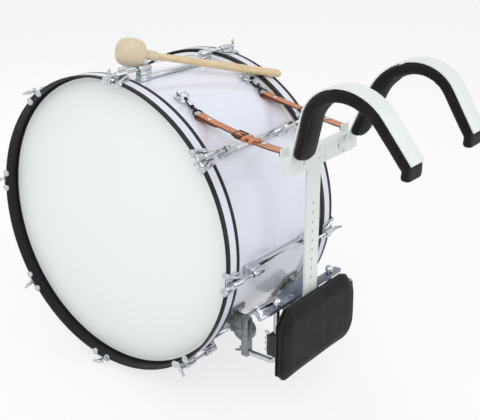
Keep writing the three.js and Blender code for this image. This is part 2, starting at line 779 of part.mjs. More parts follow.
// Leg rod: down through the crossbar and the belly clamp, then bent forward into its bracket
function legRodGeometry() {
  const section = roundSection(leg_rod_radius, leg_sides);
  const bend_y = leg_rod_y + leg_bend_radius;
  const bend_z = leg_run_z + leg_bend_radius;
  const run_end_y = hanger_y + hanger_depth / 2;
  const stations = [{ x: -leg_rod_x, y: leg_rod_y, z: leg_rod_top, heading: -Math.PI / 2, section }];
  for (let step = 0; step <= leg_bend_steps; step += 1) {
    const turn = (Math.PI / 2) * (step / leg_bend_steps);
    stations.push({
      x: -leg_rod_x,
      y: bend_y - leg_bend_radius * Math.cos(turn),
      z: bend_z - leg_bend_radius * Math.sin(turn),
      heading: turn - Math.PI / 2,
      section,
    });
  }
  stations.push({ x: -leg_rod_x, y: run_end_y, z: leg_run_z, heading: 0, section });
  const rod = carried(stations);
  const stud = barAlongY(leg_stud_radius, run_end_y - overrun, run_end_y + leg_stud_length,
    -leg_rod_x, leg_run_z, 8);
  const cap_z = crossbar_z + crossbar_height / 2 + leg_cap_standoff;
  const cap_profile = [
    [0, 0], [leg_cap_radius, 0], [leg_cap_radius, leg_cap_height * leg_cap_rim_share],
    [leg_cap_radius * leg_cap_shoulder_radius_share, leg_cap_height * leg_cap_shoulder_share],
    [0, leg_cap_height],
  ].map(([radius, height]) => new THREE.Vector2(radius, height));
  const dome = new THREE.LatheGeometry(cap_profile, leg_sides).rotateX(Math.PI / 2);
  dome.translate(-leg_rod_x, leg_rod_y, cap_z);
  return joined(rod, stud, dome);
}
const left_leg_rod = legRodGeometry();
add('left_leg_rod', left_leg_rod, chrome);
add('right_leg_rod', mirrored(left_leg_rod), chrome);

// Drum bracket: a casting on a curved foot on the shell. An arm reaches out from the foot to a flat
// hanger that the leg rod ends in, and a thick disc stands beside them
function drumBracketGeometry() {
  const foot_inner = shell_radius + running_gap;
  const foot_outer = foot_inner + casting_foot_thickness;
  const foot_angle = Math.atan2(casting_z, casting_y);
  const core = turned([[0, -half_shell], [foot_inner, -half_shell], [foot_inner, half_shell], [0, half_shell]]);
  const band = turned([
    [foot_inner, 0], [foot_outer, 0], [foot_outer, half_shell], [foot_inner, half_shell], [foot_inner, 0],
  ]);
  const foot_box = new THREE.BoxGeometry(casting_foot_width, casting_foot_length / 2, casting_foot_length);
  foot_box.translate(-leg_rod_x, foot_inner, 0).rotateX(foot_angle);
  const foot = common(band, foot_box);
  const near_x = -leg_rod_x - hanger_width / 2;
  const far_x = near_x + hanger_width;
  const front_y = hanger_y - hanger_depth / 2;
  const disc_x = casting_disc_inset - leg_rod_x;
  const disc = barAlongX(casting_disc_radius, disc_x - casting_disc_width / 2,
    disc_x + casting_disc_width / 2, casting_y, casting_z - casting_disc_drop, 24);
  const arm = block(near_x, far_x, front_y + seat_bite, casting_y + casting_arm_reach,
    casting_z - casting_arm_drop, hanger_top - seat_bite);
  const hanger = block(near_x, far_x, front_y, front_y + hanger_depth,
    leg_run_z - hanger_below_rod, hanger_top);
  const bore = barAlongY(leg_rod_radius + running_gap, hanger_y - hanger_depth, hanger_y + hanger_depth,
    -leg_rod_x, leg_run_z, leg_sides);
  return joined(foot, cut(joined(disc, arm, hanger), core, bore));
}
const left_drum_bracket = drumBracketGeometry();
add('left_drum_bracket', left_drum_bracket, dark_steel);
add('right_drum_bracket', mirrored(left_drum_bracket), dark_steel);

// A wing screw or wing nut that turns about a line along Y. Its hub starts at y and points forward,
// and its wings lie along X unless they are turned.
function wingGeometry(x, y, z, inner_reach, bore_radius, turn) {
  const hub = barAlongY(wing_hub_radius, y, y + wing_hub_length, x, z);
  const half_span = wing_span / 2;
  const wings = block(-half_span, half_span, y + wing_hub_length - overrun,
    y + wing_hub_length - overrun + wing_height, -wing_thickness / 2, wing_thickness / 2);
  wings.rotateY(turn).translate(x, 0, z);
  if (bore_radius > 0) {
    const bore = barAlongY(bore_radius, y - overrun, y + wing_hub_length + wing_height, x, z, 8);
    return cut(joined(hub, wings), bore);
  }
  const screw = barAlongY(rod_radius, y - inner_reach, y + overrun, x, z, 8);
  return joined(hub, wings, screw);
}

const wing_nut_y = hanger_y + hanger_depth / 2 + running_gap;
const leg_wing_nut = wingGeometry(-leg_rod_x, wing_nut_y, leg_run_z, 0, leg_stud_radius + rod_bore_gap, 0);
add('left_leg_wing_nut', leg_wing_nut, chrome);
add('right_leg_wing_nut', mirrored(leg_wing_nut), chrome);

// Belly plate and pad. The plate is flat where the clamps sit, and its ends curve towards the wearer.
const bellySweep = (x) => {
  const beyond = Math.max(0, Math.abs(x) - belly_flat_half_width);
  return -(beyond * beyond) / (2 * belly_wing_radius);
};

const bellyTopAt = (x, inset) => {
  const beyond = Math.max(0, Math.abs(x) - (belly_half_width - belly_top_corner));
  return belly_top - inset - beyond;
};

const bellyBottomAt = (x, inset) => {
  const beyond = Math.min(1, Math.max(0, Math.abs(x) - (belly_half_width - belly_bottom_corner))
    / belly_bottom_corner);
  return belly_bottom + inset + belly_bottom_corner * (1 - Math.sqrt(1 - beyond * beyond * belly_corner_share));
};

const belly_station_shares = [0, 0.2, 0.4, 0.55, 0.67, 0.74, 0.8, 0.86, 0.91, 0.955, 1];
const bellyStations = (half_width) => {
  const right = belly_station_shares.map((share) => share * half_width);
  return [...right.slice(1).reverse().map((x) => -x), ...right];
};

function bellyPlateGeometry() {
  const half = belly_half_width - belly_plate_inset;
  return skinned(bellyStations(half).map((x) => {
    const front = belly_face_y + bellySweep(x);
    const back = front - belly_plate_thickness;
    const low = bellyBottomAt(x, belly_plate_inset);
    const high = bellyTopAt(x, belly_plate_inset);
    return [[front, low], [front, high], [back, high], [back, low]]
      .map(([y, z]) => new THREE.Vector3(x, y, z));
  }));
}

function bellyPadGeometry() {
  return skinned(bellyStations(belly_half_width).map((x) => {
    const front = belly_face_y - belly_plate_thickness - running_gap + bellySweep(x);
    const low = bellyBottomAt(x, 0);
    const high = bellyTopAt(x, 0);
    const edge = belly_pad_edge_thickness;
    const from_end = Math.min(1, (belly_half_width - Math.abs(x)) / belly_pad_crown_reach);
    const full = edge + (belly_pad_thickness - edge) * Math.sqrt(from_end);
    const reach = Math.min(belly_pad_crown_reach, (high - low) / 4);
    const middle = (high + low) / 2;
    return [
      [front, low + edge / 4], [front, high - edge / 4], [front - edge / 4, high],
      [front - edge * 0.75, high], [front - edge, high - edge / 4], [front - full, high - reach],
      [front - full, middle], [front - full, low + reach], [front - edge, low + edge / 4],
      [front - edge * 0.75, low], [front - edge / 4, low],
    ].map(([y, z]) => new THREE.Vector3(x, y, z));
  }));
}
add('belly_plate', bellyPlateGeometry(), black_paint);
add('belly_pad', bellyPadGeometry(), black_foam);

// Belly clamp: a block on the plate that grips the leg rod, with two wing screws from the drum side
const clamp_wing_names = ['upper', 'lower'];
const clampWingZ = (index) => clamp_middle_z + (wing_pair_spacing / 2) * (index === 0 ? 1 : -1);
function bellyClampGeometry() {
  const half = clamp_width / 2;
  const half_height = clamp_height / 2;
  const body = block(-leg_rod_x - half, -leg_rod_x + half, belly_face_y + running_gap, clamp_front_y,
    clamp_middle_z - half_height, clamp_middle_z + half_height);
  const bore = barAlongZ(leg_rod_radius + clamp_bore_gap, clamp_middle_z - clamp_height,
    clamp_middle_z + clamp_height, -leg_rod_x, leg_rod_y, leg_sides);
  const screw_holes = clamp_wing_names.map((_, index) => barAlongY(rod_radius + rod_bore_gap,
    leg_rod_y, clamp_front_y + overrun, -leg_rod_x, clampWingZ(index), 8));
  return cut(body, bore, ...screw_holes);
}
const left_belly_clamp = bellyClampGeometry();
add('left_belly_clamp', left_belly_clamp, black_paint);
add('right_belly_clamp', mirrored(left_belly_clamp), black_paint);
clamp_wing_names.forEach((level, index) => {
  const reach = clamp_front_y - (leg_rod_y + leg_rod_radius) - clamp_screw_gap;
  const seat_y = clamp_front_y + running_gap;
  const screw = wingGeometry(-leg_rod_x, seat_y, clampWingZ(index), reach, 0, Math.PI / 2);
  add(`left_clamp_wing_${level}`, screw, chrome);
  add(`right_clamp_wing_${level}`, mirrored(screw), chrome);
});

// One strap with its snap hook, its ring and the ring's eye on the shell. The ring is pulled round the
// shell towards the wearer and swings about its eye, and the hook hangs from it against the shell.
function strapSet(eye_x, swing, lean, middle_x) {
  const outer = Math.sign(eye_x);
  const station = radians(eye_station_angle);
  const out = new THREE.Vector3(0, Math.cos(station), Math.sin(station));
  const along = new THREE.Vector3(0, -Math.sin(station), Math.cos(station));
  const across = new THREE.Vector3(outer, 0, 0);
  const pull = along.multiplyScalar(Math.cos(radians(swing))).addScaledVector(across, Math.sin(radians(swing)));
  const eye = out.clone().multiplyScalar(shell_radius + eye_height + eye_radius).setX(eye_x);
  const ring_centre = eye.clone().addScaledVector(pull, ring_radius - ring_rod_radius);
  const ring_axis = out.clone().multiplyScalar(Math.cos(radians(lean)));
  ring_axis.addScaledVector(new THREE.Vector3(-1, 0, 0), Math.sin(radians(lean)));
  ring_axis.addScaledVector(pull, -ring_axis.dot(pull)).normalize();
  const hook_at = ring_centre.clone().addScaledVector(pull, ring_radius);
  const fall = radians(hook_fall);
  const aim = new THREE.Vector3(0, -Math.cos(fall), -Math.sin(fall));
  const side = ring_axis.clone().addScaledVector(aim, -ring_axis.dot(aim)).normalize();
  return { eye_x, station, pull, ring_centre, ring_axis, hook_at, aim, side, middle_x, outer };
}
const left_set = strapSet(left_eye_x, left_ring_swing, left_ring_lean, left_strap_middle_x);
const right_set = strapSet(right_eye_x, right_ring_swing, right_ring_lean, right_strap_middle_x);

function strapRingGeometry({ eye_x, station, pull, ring_centre, ring_axis }) {
  const foot = new THREE.CylinderGeometry(eye_foot_radius, eye_foot_radius, eye_foot_height, 12);
  foot.translate(0, shell_radius + 2 * running_gap + eye_foot_height / 2, 0);
  const post_height = eye_height + eye_radius + eye_cover_share * ring_rod_radius;
  const post = new THREE.CylinderGeometry(eye_radius, eye_radius, post_height - eye_foot_height / 2, 10);
  post.translate(0, shell_radius + eye_foot_height / 4 + post_height / 2, 0);
  const stand = joined(foot, post);
  stand.rotateX(station).translate(eye_x, 0, 0);
  const ring = new THREE.TorusGeometry(ring_radius, ring_rod_radius, 5, 16);
  const frame = new THREE.Matrix4();
  frame.makeBasis(pull, new THREE.Vector3().crossVectors(ring_axis, pull), ring_axis);
  ring.applyMatrix4(frame).translate(ring_centre.x, ring_centre.y, ring_centre.z);
  return joined(stand, ring);
}

// Snap hook: a flat hook round the ring, closed on one side by a gate that turns inwards, narrowing
// to a neck for the strap. Both are drawn along the hook with the ring's wire at the middle.
function hookPlate(outline, { hook_at, aim, side }) {
  const shape = new THREE.Shape(outline.map(([along, lateral]) => new THREE.Vector2(along, lateral)));
  const plate = new THREE.ExtrudeGeometry(shape, { depth: hook_thickness, bevelEnabled: false });
  plate.translate(0, 0, -hook_thickness / 2);
  const frame = new THREE.Matrix4().makeBasis(aim, side, new THREE.Vector3().crossVectors(aim, side));
  return plate.applyMatrix4(frame).translate(hook_at.x, hook_at.y, hook_at.z);
}

function snapHookGeometry(set) {
  const half = hook_width / 2;
  const neck = hook_neck_width / 2;
  const inner = half - hook_wall;
  const nose = -ring_rod_radius * hook_nose_share;
  const end = hook_length - half;
  return hookPlate([
    [nose - hook_wall, -half / 2], [nose, -half], [hook_throat_end, -half], [hook_throat_end + half, -neck],
    [end, -neck], [end, neck], [hook_throat_end + half, neck],
    [hook_throat_end + hook_wall / 2, inner - 2 * running_gap], [hook_throat_end, inner - hook_wall / 2],
    [hook_throat_end, -inner], [nose + hook_wall / 2, -inner], [nose, -inner / 2], [nose, inner / 2],
    [nose + hook_wall / 2, inner], [hook_throat_start, inner], [hook_throat_start, half], [nose, half],
    [nose - hook_wall, half / 2],
  ], set);
}

function hookGateGeometry(set) {
  const half = hook_width / 2;
  const inner = half - hook_wall;
  const tip = hook_throat_start + running_gap;
  const end = hook_throat_end + hook_wall;
  return hookPlate([[tip, inner], [end, inner], [end, half], [tip, half]], set);
}

// Leather strap: two layers of leather from the hook's neck to the tab on the cross plate, through a
// middle place that gives it its sag and its bow to the side
function strapGeometry({ hook_at, aim, middle_x, outer }) {
  const start = hook_at.clone().addScaledVector(aim, hook_length - hook_width / 2);
  start.y -= hook_thickness / 2 + running_gap;
  const end = new THREE.Vector3(outer * strap_end_x, strap_tab_y + channel_wall + running_gap, strap_end_z);
  const middle = new THREE.Vector3(middle_x, (start.y + end.y) / 2, strap_middle_z);
  const bend = middle.multiplyScalar(2).addScaledVector(start, -1 / 2).addScaledVector(end, -1 / 2);
  const path = new THREE.QuadraticBezierCurve3(start, bend, end);
  const half = strap_thickness / 2;
  const section = flatSection(strap_width, -half, half);
  return carried(Array.from({ length: strap_steps + 1 }, (_, index) => {
    const place = path.getPoint(index / strap_steps);
    const run = path.getTangent(index / strap_steps);
    const heading = Math.atan2(run.z, run.y);
    const last = index === strap_steps;
    return {
      x: place.x, y: place.y, z: place.z, heading: last ? Math.PI * Math.sign(heading) : heading, section,
    };
  }));
}

for (const [name, set] of [['left', left_set], ['right', right_set]]) {
  add(`${name}_strap_ring`, strapRingGeometry(set), chrome);
  add(`${name}_snap_hook`, snapHookGeometry(set), black_paint);
  add(`${name}_hook_gate`, hookGateGeometry(set), chrome);
  add(`${name}_strap`, strapGeometry(set), tan_leather);
}

// Mallet: a turned wooden handle in a felt head, made along X and then laid across the top of the
// drum from a left lug to the right hoop
const mallet_from = stationPlace(mallet_head_x, rod_circle_radius + mallet_head_rise, mallet_head_angle);
const mallet_to = stationPlace(mallet_tip_x, hoop_radius + mallet_tip_rise, mallet_tip_angle);
const mallet_length = mallet_to.distanceTo(mallet_from);
const mallet = new THREE.Group();
mallet.position.copy(mallet_from);
mallet.quaternion.setFromUnitVectors(
  new THREE.Vector3(1, 0, 0),
  mallet_to.clone().sub(mallet_from).normalize(),
);
marching_bass_drum.add(mallet);

function latheAlongX(profile, sides) {
  const points = profile.map(([radius, along]) => new THREE.Vector2(radius, -along));
  return new THREE.LatheGeometry(points.reverse(), sides).rotateZ(Math.PI / 2);
}

function malletHandleGeometry() {
  const socket_end = mallet_head_reach - mallet_socket_depth;
  const neck_end = mallet_head_reach + mallet_collar_length;
  return latheAlongX([
    [0, socket_end], [mallet_neck_radius, socket_end], [mallet_neck_radius, neck_end],
    [mallet_grip_radius, mallet_length * mallet_swell_share],
    [mallet_grip_radius, mallet_length * mallet_grip_share],
    [mallet_grip_end_radius, mallet_length], [0, mallet_length],
  ], 14);
}

function malletHeadGeometry() {
  const ball = latheAlongX(Array.from({ length: 11 }, (_, index) => {
    const turn = (Math.PI * index) / 10;
    const along = Math.cos(turn);
    return [
      mallet_head_radius * Math.max(0, Math.sin(turn)) ** mallet_head_side_share,
      -mallet_head_reach * Math.sign(along) * Math.abs(along) ** mallet_head_end_share,
    ];
  }), 20);
  const collar_end = mallet_head_reach + mallet_collar_length - overrun;
  const collar = barAlongX(mallet_collar_radius, 0, collar_end, 0, 0, 14);
  const bore = barAlongX(mallet_neck_radius + running_gap, mallet_head_reach - mallet_socket_depth
    - running_gap, collar_end + overrun, 0, 0, 14);
  return cut(joined(ball, collar), bore);
}
add('mallet_handle', malletHandleGeometry(), pale_wood, mallet);
add('mallet_head', malletHeadGeometry(), cream_felt, mallet);

// Set the object down: the middle of its outline over the origin, its lowest point on the ground
marching_bass_drum.updateMatrixWorld(true);
const outline = new THREE.Box3().setFromObject(marching_bass_drum, true);
const middle = outline.getCenter(new THREE.Vector3());
marching_bass_drum.position.set(-middle.x, -middle.y, -outline.min.z);

export default marching_bass_drum;
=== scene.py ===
# A marching bass drum on its shoulder carrier, with its felt mallet, in a plain pale studio.
import math

import bpy
from mathutils import Matrix, Vector


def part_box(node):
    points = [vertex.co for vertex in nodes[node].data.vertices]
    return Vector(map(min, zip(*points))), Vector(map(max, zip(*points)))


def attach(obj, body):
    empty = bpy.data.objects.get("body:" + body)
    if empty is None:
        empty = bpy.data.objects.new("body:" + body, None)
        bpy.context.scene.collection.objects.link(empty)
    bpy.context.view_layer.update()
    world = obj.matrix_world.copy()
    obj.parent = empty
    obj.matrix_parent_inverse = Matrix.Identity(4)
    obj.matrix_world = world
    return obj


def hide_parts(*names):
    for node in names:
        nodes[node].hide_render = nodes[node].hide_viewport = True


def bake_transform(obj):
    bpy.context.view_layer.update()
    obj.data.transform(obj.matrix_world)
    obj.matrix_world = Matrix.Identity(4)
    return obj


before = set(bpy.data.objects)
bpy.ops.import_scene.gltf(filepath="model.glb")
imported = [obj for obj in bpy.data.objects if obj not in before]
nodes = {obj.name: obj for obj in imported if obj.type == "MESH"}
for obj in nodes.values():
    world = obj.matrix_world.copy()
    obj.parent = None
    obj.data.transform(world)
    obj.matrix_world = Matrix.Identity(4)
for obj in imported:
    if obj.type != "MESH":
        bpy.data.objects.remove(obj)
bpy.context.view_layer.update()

# The drum's middle is the point that every piece is placed from, in millimetres, with +X along the
# drum to the wearer's right, +Y the way the wearer faces and +Z up.
mm = 0.001
shell_low, shell_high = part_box("shell")
drum = (shell_low + shell_high) / 2


def at(x, y, z):
    return drum + Vector((x, y, z)) * mm


# The camera stands where the photograph was taken from: in front of the wearer's left side and a
# little above, with a moderately long lens.
camera_data = bpy.data.cameras.new("camera")
camera_data.lens = 69.36
camera_data.sensor_width = 36
camera = bpy.data.objects.new("camera", camera_data)
bpy.context.scene.collection.objects.link(camera)
camera.location = at(-1424.43, -1295.70, 729.26)
camera.rotation_euler = (math.radians(90 - 21.244), 0, math.radians(-52.626))
bpy.context.scene.camera = camera
bpy.context.scene.view_settings.view_transform = "Standard"


def colour(red, green, blue):
    """A colour as it is read off a picture, for a shader's socket."""
    def linear(value):
        share = value / 255
        return share / 12.92 if share <= 0.04045 else ((share + 0.055) / 1.055) ** 2.4
    return (linear(red), linear(green), linear(blue), 1)


def deselect():
    bpy.ops.object.select_all(action="DESELECT")


def select_only(piece):
    deselect()
    piece.select_set(True)
    bpy.context.view_layer.objects.active = piece


# The floor is a pale sweep that keeps the drum's soft shadow. To camera, mirror and glass rays the world
# is plain white, and the floor nearly so.


def give(node, values):
    """Sets the values of a node's sockets."""
    for socket, value in values.items():
        node.inputs[socket].default_value = value
    return node


def add_node(tree, kind, values=None, **settings):
    """Adds a shader node with its settings, and then the values of its sockets."""
    node = tree.nodes.new("ShaderNode" + kind)
    for name, value in settings.items():
        setattr(node, name, value)
    return give(node, values or {})


def connect(tree, *links):
    """Links shader nodes, each link given as a node, its output, the next node and its input."""
    for first, output, second, socket in links:
        tree.links.new(first.outputs[output], second.inputs[socket])


def white_when_seen(tree, lit, glow_kind, share, end):
    """Mixes plain white into a shader by a share, for camera, mirror and glass rays alone."""
    rays = add_node(tree, "LightPath")
    glow = add_node(tree, glow_kind, {"Color": (1, 1, 1, 1), "Strength": 1})
    seen = add_node(tree, "Math", operation="MAXIMUM")
    seen_or_glossy = add_node(tree, "Math", operation="MAXIMUM")
    weight = add_node(tree, "Math", {1: share}, operation="MULTIPLY")
    either = add_node(tree, "MixShader")
    connect(tree, (rays, "Is Camera Ray", seen, 0), (rays, "Is Transmission Ray", seen, 1),
            (seen, 0, seen_or_glossy, 0), (rays, "Is Glossy Ray", seen_or_glossy, 1),
            (seen_or_glossy, 0, weight, 0), (weight, 0, either, "Fac"), (lit, 0, either, 1),
            (glow, 0, either, 2), (either, 0, tree.nodes[end], "Surface"))


deselect()
bpy.ops.mesh.primitive_plane_add(size=12)
floor = bpy.context.active_object
floor.name = "floor"
floor_paint = bpy.data.materials.new("floor_paint")
floor_paint.use_nodes = True
floor_tree = floor_paint.node_tree
floor_shader = give(floor_tree.nodes["Principled BSDF"], {
    "Base Color": (0.93, 0.93, 0.93, 1), "Roughness": 0.9, "Specular IOR Level": 0})
white_when_seen(floor_tree, floor_shader, "Emission", 0.72, "Material Output")
floor.data.materials.append(floor_paint)

world = bpy.data.worlds.new("studio")
world.use_nodes = True
bpy.context.scene.world = world
room = give(world.node_tree.nodes["Background"], {"Color": (0.95, 0.97, 1.0, 1), "Strength": 0.74})
white_when_seen(world.node_tree, room, "Background", 1.0, "World Output")

# Four soft boxes: the key from the camera's upper left, one square on to the near head, a fill from the
# right and one from behind.
for lamp_name, place, size, power in (
    ("key", (-1.9, -1.2, 2.5), 1.8, 24),
    ("face", (-3.0, 0.5, 1.0), 2.4, 8),
    ("fill", (1.2, -2.4, 1.4), 1.8, 14),
    ("rim", (1.0, 2.2, 2.2), 1.6, 14),
):
    lamp_data = bpy.data.lights.new(lamp_name, "AREA")
    lamp_data.size = size
    lamp_data.energy = power
    lamp = bpy.data.objects.new(lamp_name, lamp_data)
    bpy.context.scene.collection.objects.link(lamp)
    lamp.location = place
    lamp.rotation_euler = (drum - Vector(place)).to_track_quat("-Z", "Y").to_euler()

# SHELL: a plywood tube in white lacquer with a faint cool sheen. It is glued up in a mould and turned
# true, and its two edges are sloped on the inside for the heads.


def spun(outline, centre, along=(1, 0, 0), outward=(0, 1, 0), steps=96):
    """A point extruded along an outline of (radius, distance) pairs and spun round a line."""
    deselect()
    bpy.ops.mesh.primitive_plane_add(size=mm)
    piece = bpy.context.active_object
    line, out = Vector(along).normalized(), Vector(outward).normalized()
    places = [centre + out * (radius * mm) + line * (distance * mm) for radius, distance in outline]
    bpy.ops.object.mode_set(mode="EDIT")
    bpy.ops.mesh.select_all(action="SELECT")
    bpy.ops.mesh.merge(type="CENTER")
    bpy.ops.transform.translate(value=places[0])
    for here, there in zip(places, places[1:]):
        bpy.ops.mesh.extrude_vertices_move(TRANSFORM_OT_translate={"value": there - here})
    bpy.ops.mesh.select_all(action="SELECT")
    bpy.ops.mesh.spin(steps=steps, angle=2 * math.pi, center=centre, axis=line)
    bpy.ops.mesh.select_all(action="SELECT")
    bpy.ops.mesh.remove_doubles(threshold=0.02 * mm)
    bpy.ops.mesh.normals_make_consistent(inside=False)
    bpy.ops.object.mode_set(mode="OBJECT")
    return piece


def finish_piece(piece, name, finish, slot, body, *replaced, smooth=35):
    """Names a piece, puts its place into its mesh and gives it its finish and its body."""
    select_only(piece)
    bpy.ops.object.transform_apply()
    piece.name = name
    piece.data.name = name
    bpy.ops.object.shade_smooth_by_angle(angle=math.radians(smooth))
    piece.data.materials.clear()
    piece.data.materials.append(finish)
    if body:
        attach(piece, body)
    if replaced:
        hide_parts(*replaced)
    return piece


def cloud_group():
    """Soft variation over a surface: two colours and two roughnesses mixed by noise, and its height."""
    group = bpy.data.node_groups.new("cloudy surface", "ShaderNodeTree")
    for way, socket, kind in (
        ("INPUT", "Scale", "Float"), ("INPUT", "Colour", "Color"), ("INPUT", "Other colour", "Color"),
        ("INPUT", "Roughness", "Float"), ("INPUT", "Other roughness", "Float"),
        ("OUTPUT", "Colour", "Color"), ("OUTPUT", "Roughness", "Float"), ("OUTPUT", "Height", "Float"),
    ):
        group.interface.new_socket(socket, in_out=way, socket_type="NodeSocket" + kind)
    given = group.nodes.new("NodeGroupInput")
    result = group.nodes.new("NodeGroupOutput")
    place = add_node(group, "TexCoord")
    noise = add_node(group, "TexNoise", {"Detail": 5, "Roughness": 0.6})
    tints = add_node(group, "Mix", data_type="RGBA")
    gloss = add_node(group, "Mix")
    spread = add_node(group, "MapRange", {"From Min": 0.3, "From Max": 0.7})
    connect(group, (place, "Object", noise, "Vector"), (given, "Scale", noise, "Scale"),
            (noise, "Fac", spread, "Value"), (spread, "Result", tints, "Factor"),
            (given, "Colour", tints, "A"), (given, "Other colour", tints, "B"),
            (spread, "Result", gloss, "Factor"), (given, "Roughness", gloss, 2),
            (given, "Other roughness", gloss, 3), (tints, "Result", result, "Colour"),
            (gloss, 0, result, "Roughness"), (noise, "Fac", result, "Height"))
    return group


cloudy = cloud_group()


def finish_with(name, first, second, scale, roughness, bump, metallic=0.0, coat=0.0, sheen=0.0):
    """A finish whose colour, gloss and height vary softly over the surface."""
    material = bpy.data.materials.new(name)
    material.use_nodes = True
    tree = material.node_tree
    shader = give(tree.nodes["Principled BSDF"], {
        "Metallic": metallic, "Coat Weight": coat, "Coat Roughness": 0.08, "Sheen Weight": sheen})
    cloud = add_node(tree, "Group", {
        "Scale": scale, "Colour": first, "Other colour": second, "Roughness": roughness[0],
        "Other roughness": roughness[1]}, node_tree=cloudy)
    raised = add_node(tree, "Bump", {"Strength": bump[0], "Distance": bump[1] * mm})
    connect(tree, (cloud, "Colour", shader, "Base Color"), (cloud, "Roughness", shader, "Roughness"),
            (cloud, "Height", raised, "Height"), (raised, "Normal", shader, "Normal"))
    return material


def with_mirror(half, *middle):
    """Half an outline, its middle points and the half's mirror image, which runs back to the start."""
    return [*half, *middle, *[(*place[:-1], -place[-1]) for place in reversed(half)]]


round_steps = 192
shell_lacquer = finish_with(
    "white shell lacquer", colour(233, 235, 244), colour(228, 231, 242), 9, (0.16, 0.24), (0.05, 0.3),
    coat=0.5)
finish_piece(
    spun([*with_mirror([(297, -149.5), (300, -152.5), (302.2, -152.5), (303, -151.7)]), (297, -149.5)], drum,
         steps=round_steps),
    "lacquered_shell", shell_lacquer, "white_lacquer", "drum", "shell")

# HEADS: a coated polyester film on an aluminium flesh ring. The film is heat-formed over the bearing
# edge, so it has a shallow collar near its rim, and its coating is a fine even tooth.
sides = (("left", -1), ("right", 1))


def finish_both_ends(outline, name, finish, slot, node):
    """Spins an outline of (radius, distance from the drum's middle) pairs at both ends of the drum."""
    for side, sign in sides:
        finish_piece(spun([(radius, sign * away) for radius, away in outline], drum, steps=round_steps),
                     f"{side}_{name}", finish, slot, "drum", f"{side}_{node}")


head_coating = finish_with(
    "head coating", colour(240, 243, 241), colour(236, 239, 237), 240, (0.5, 0.62), (0.12, 0.25))
finish_both_ends(
    [(0, 152.8), (303.6, 152.8), (303.6, 143), (311, 143), (311, 152.8), (310.5, 153.3), (306, 153.3),
     (305, 153.1), (303.6, 153.3), (302, 153.7), (300, 153.8), (200, 153.8), (100, 153.8), (0, 153.8)],
    "coated_head", head_coating, "coated_head", "head")

# HOOPS: flat rings in black lacquer with a white stripe let in round the outside. An inner flange sits
# on the head's flesh ring, and the claws pull the hoop down on it.
hoop_radius = 318
stripe_inner = 154.9
stripe_outer = 173.4


def first_of(tree, kind):
    """The node of a kind that was made first."""
    return [node for node in tree.nodes if node.type == kind][0]


def tint(material, tint_colour, mask, output):
    """Mixes another colour into a finish wherever a node's output says so."""
    tree = material.node_tree
    mixed = add_node(tree, "Mix", {"B": tint_colour}, data_type="RGBA")
    connect(tree, (mask, output, mixed, "Factor"), (first_of(tree, "GROUP"), "Colour", mixed, "A"),
            (mixed, "Result", tree.nodes["Principled BSDF"], "Base Color"))


def hoop_finish():
    """Black lacquer, with the stripe on the hoop's outside between two distances along the drum."""
    material = finish_with("striped hoop lacquer", colour(14, 15, 17), colour(22, 23, 26), 14,
                           (0.42, 0.56), (0.06, 0.3))
    tree = material.node_tree
    give(tree.nodes["Principled BSDF"], {"Specular IOR Level": 0.3})
    place = add_node(tree, "TexCoord")
    centred = add_node(tree, "Mapping", {"Location": -drum})
    parts = add_node(tree, "SeparateXYZ")
    away = add_node(tree, "Math", operation="ABSOLUTE")
    inside = add_node(tree, "Math", {1: stripe_inner * mm}, operation="GREATER_THAN")
    outside = add_node(tree, "Math", {1: stripe_outer * mm}, operation="LESS_THAN")
    rim = add_node(tree, "CombineXYZ")
    reach = add_node(tree, "VectorMath", operation="LENGTH")
    outer = add_node(tree, "Math", {1: (hoop_radius - 0.7) * mm}, operation="GREATER_THAN")
    band = add_node(tree, "Math", operation="MULTIPLY")
    stripe = add_node(tree, "Math", operation="MULTIPLY")
    connect(tree, (place, "Object", centred, "Vector"), (centred, "Vector", parts, 0), (parts, "X", away, 0),
            (away, 0, inside, 0), (away, 0, outside, 0), (parts, "Y", rim, "Y"), (parts, "Z", rim, "Z"),
            (rim, 0, reach, 0), (reach, "Value", outer, 0), (inside, 0, band, 0), (outside, 0, band, 1),
            (band, 0, stripe, 0), (outer, 0, stripe, 1))
    tint(material, colour(224, 226, 236), stripe, 0)
    return material


finish_both_ends(
    [(hoop_radius, 145.5), (317, 144.6), (315, 144.6), (314, 145.4), (314, 153.6), (310, 153.6),
     (309.5, 154.1), (309.5, 156.1), (310, 156.6), (314, 156.6), (314, 182.4), (314.8, 183.5),
     (317, 183.6), (hoop_radius, 182.6), (hoop_radius, stripe_outer), (hoop_radius, stripe_inner),
     (hoop_radius, 145.5)],
    "striped_hoop", hoop_finish(), "black_hoop", "hoop")

# CLAWS: chromed castings that hook over the hoop's edge. A saddle lies on the hoop, two round noses
# hold its rim, and the tension rod passes a tube between two ribs. One is made at the front
# station and copied to the eight stations of each hoop.
polished_chrome = finish_with(
    "polished chrome", colour(205, 208, 212), colour(188, 192, 198), 60, (0.10, 0.24), (0.05, 0.1),
    metallic=1.0)
hoop_front = 183.6
rod_line = 328
stations = 8
first_station_angle = 7


def modified(piece, kind, **settings):
    """Gives a piece one modifier and applies it."""
    select_only(piece)
    change = piece.modifiers.new(kind.lower(), kind)
    for name, value in settings.items():
        setattr(change, name, value)
    bpy.ops.object.modifier_apply(modifier=change.name)
    return piece


def rounded(piece, width, segments=2, angle=40):
    """Rounds a piece's sharp edges."""
    return modified(piece, "BEVEL", width=width * mm, segments=segments, limit_method="ANGLE",
                    angle_limit=math.radians(angle))


def block(low, high, round_by=0.0, segments=2):
    """A cube at its size and place, with its edges rounded."""
    deselect()
    bpy.ops.mesh.primitive_cube_add(size=1)
    piece = bpy.context.active_object
    piece.dimensions = Vector(high) - Vector(low)
    piece.location = (Vector(high) + Vector(low)) / 2
    bpy.ops.object.transform_apply()
    return rounded(piece, round_by, segments) if round_by else piece


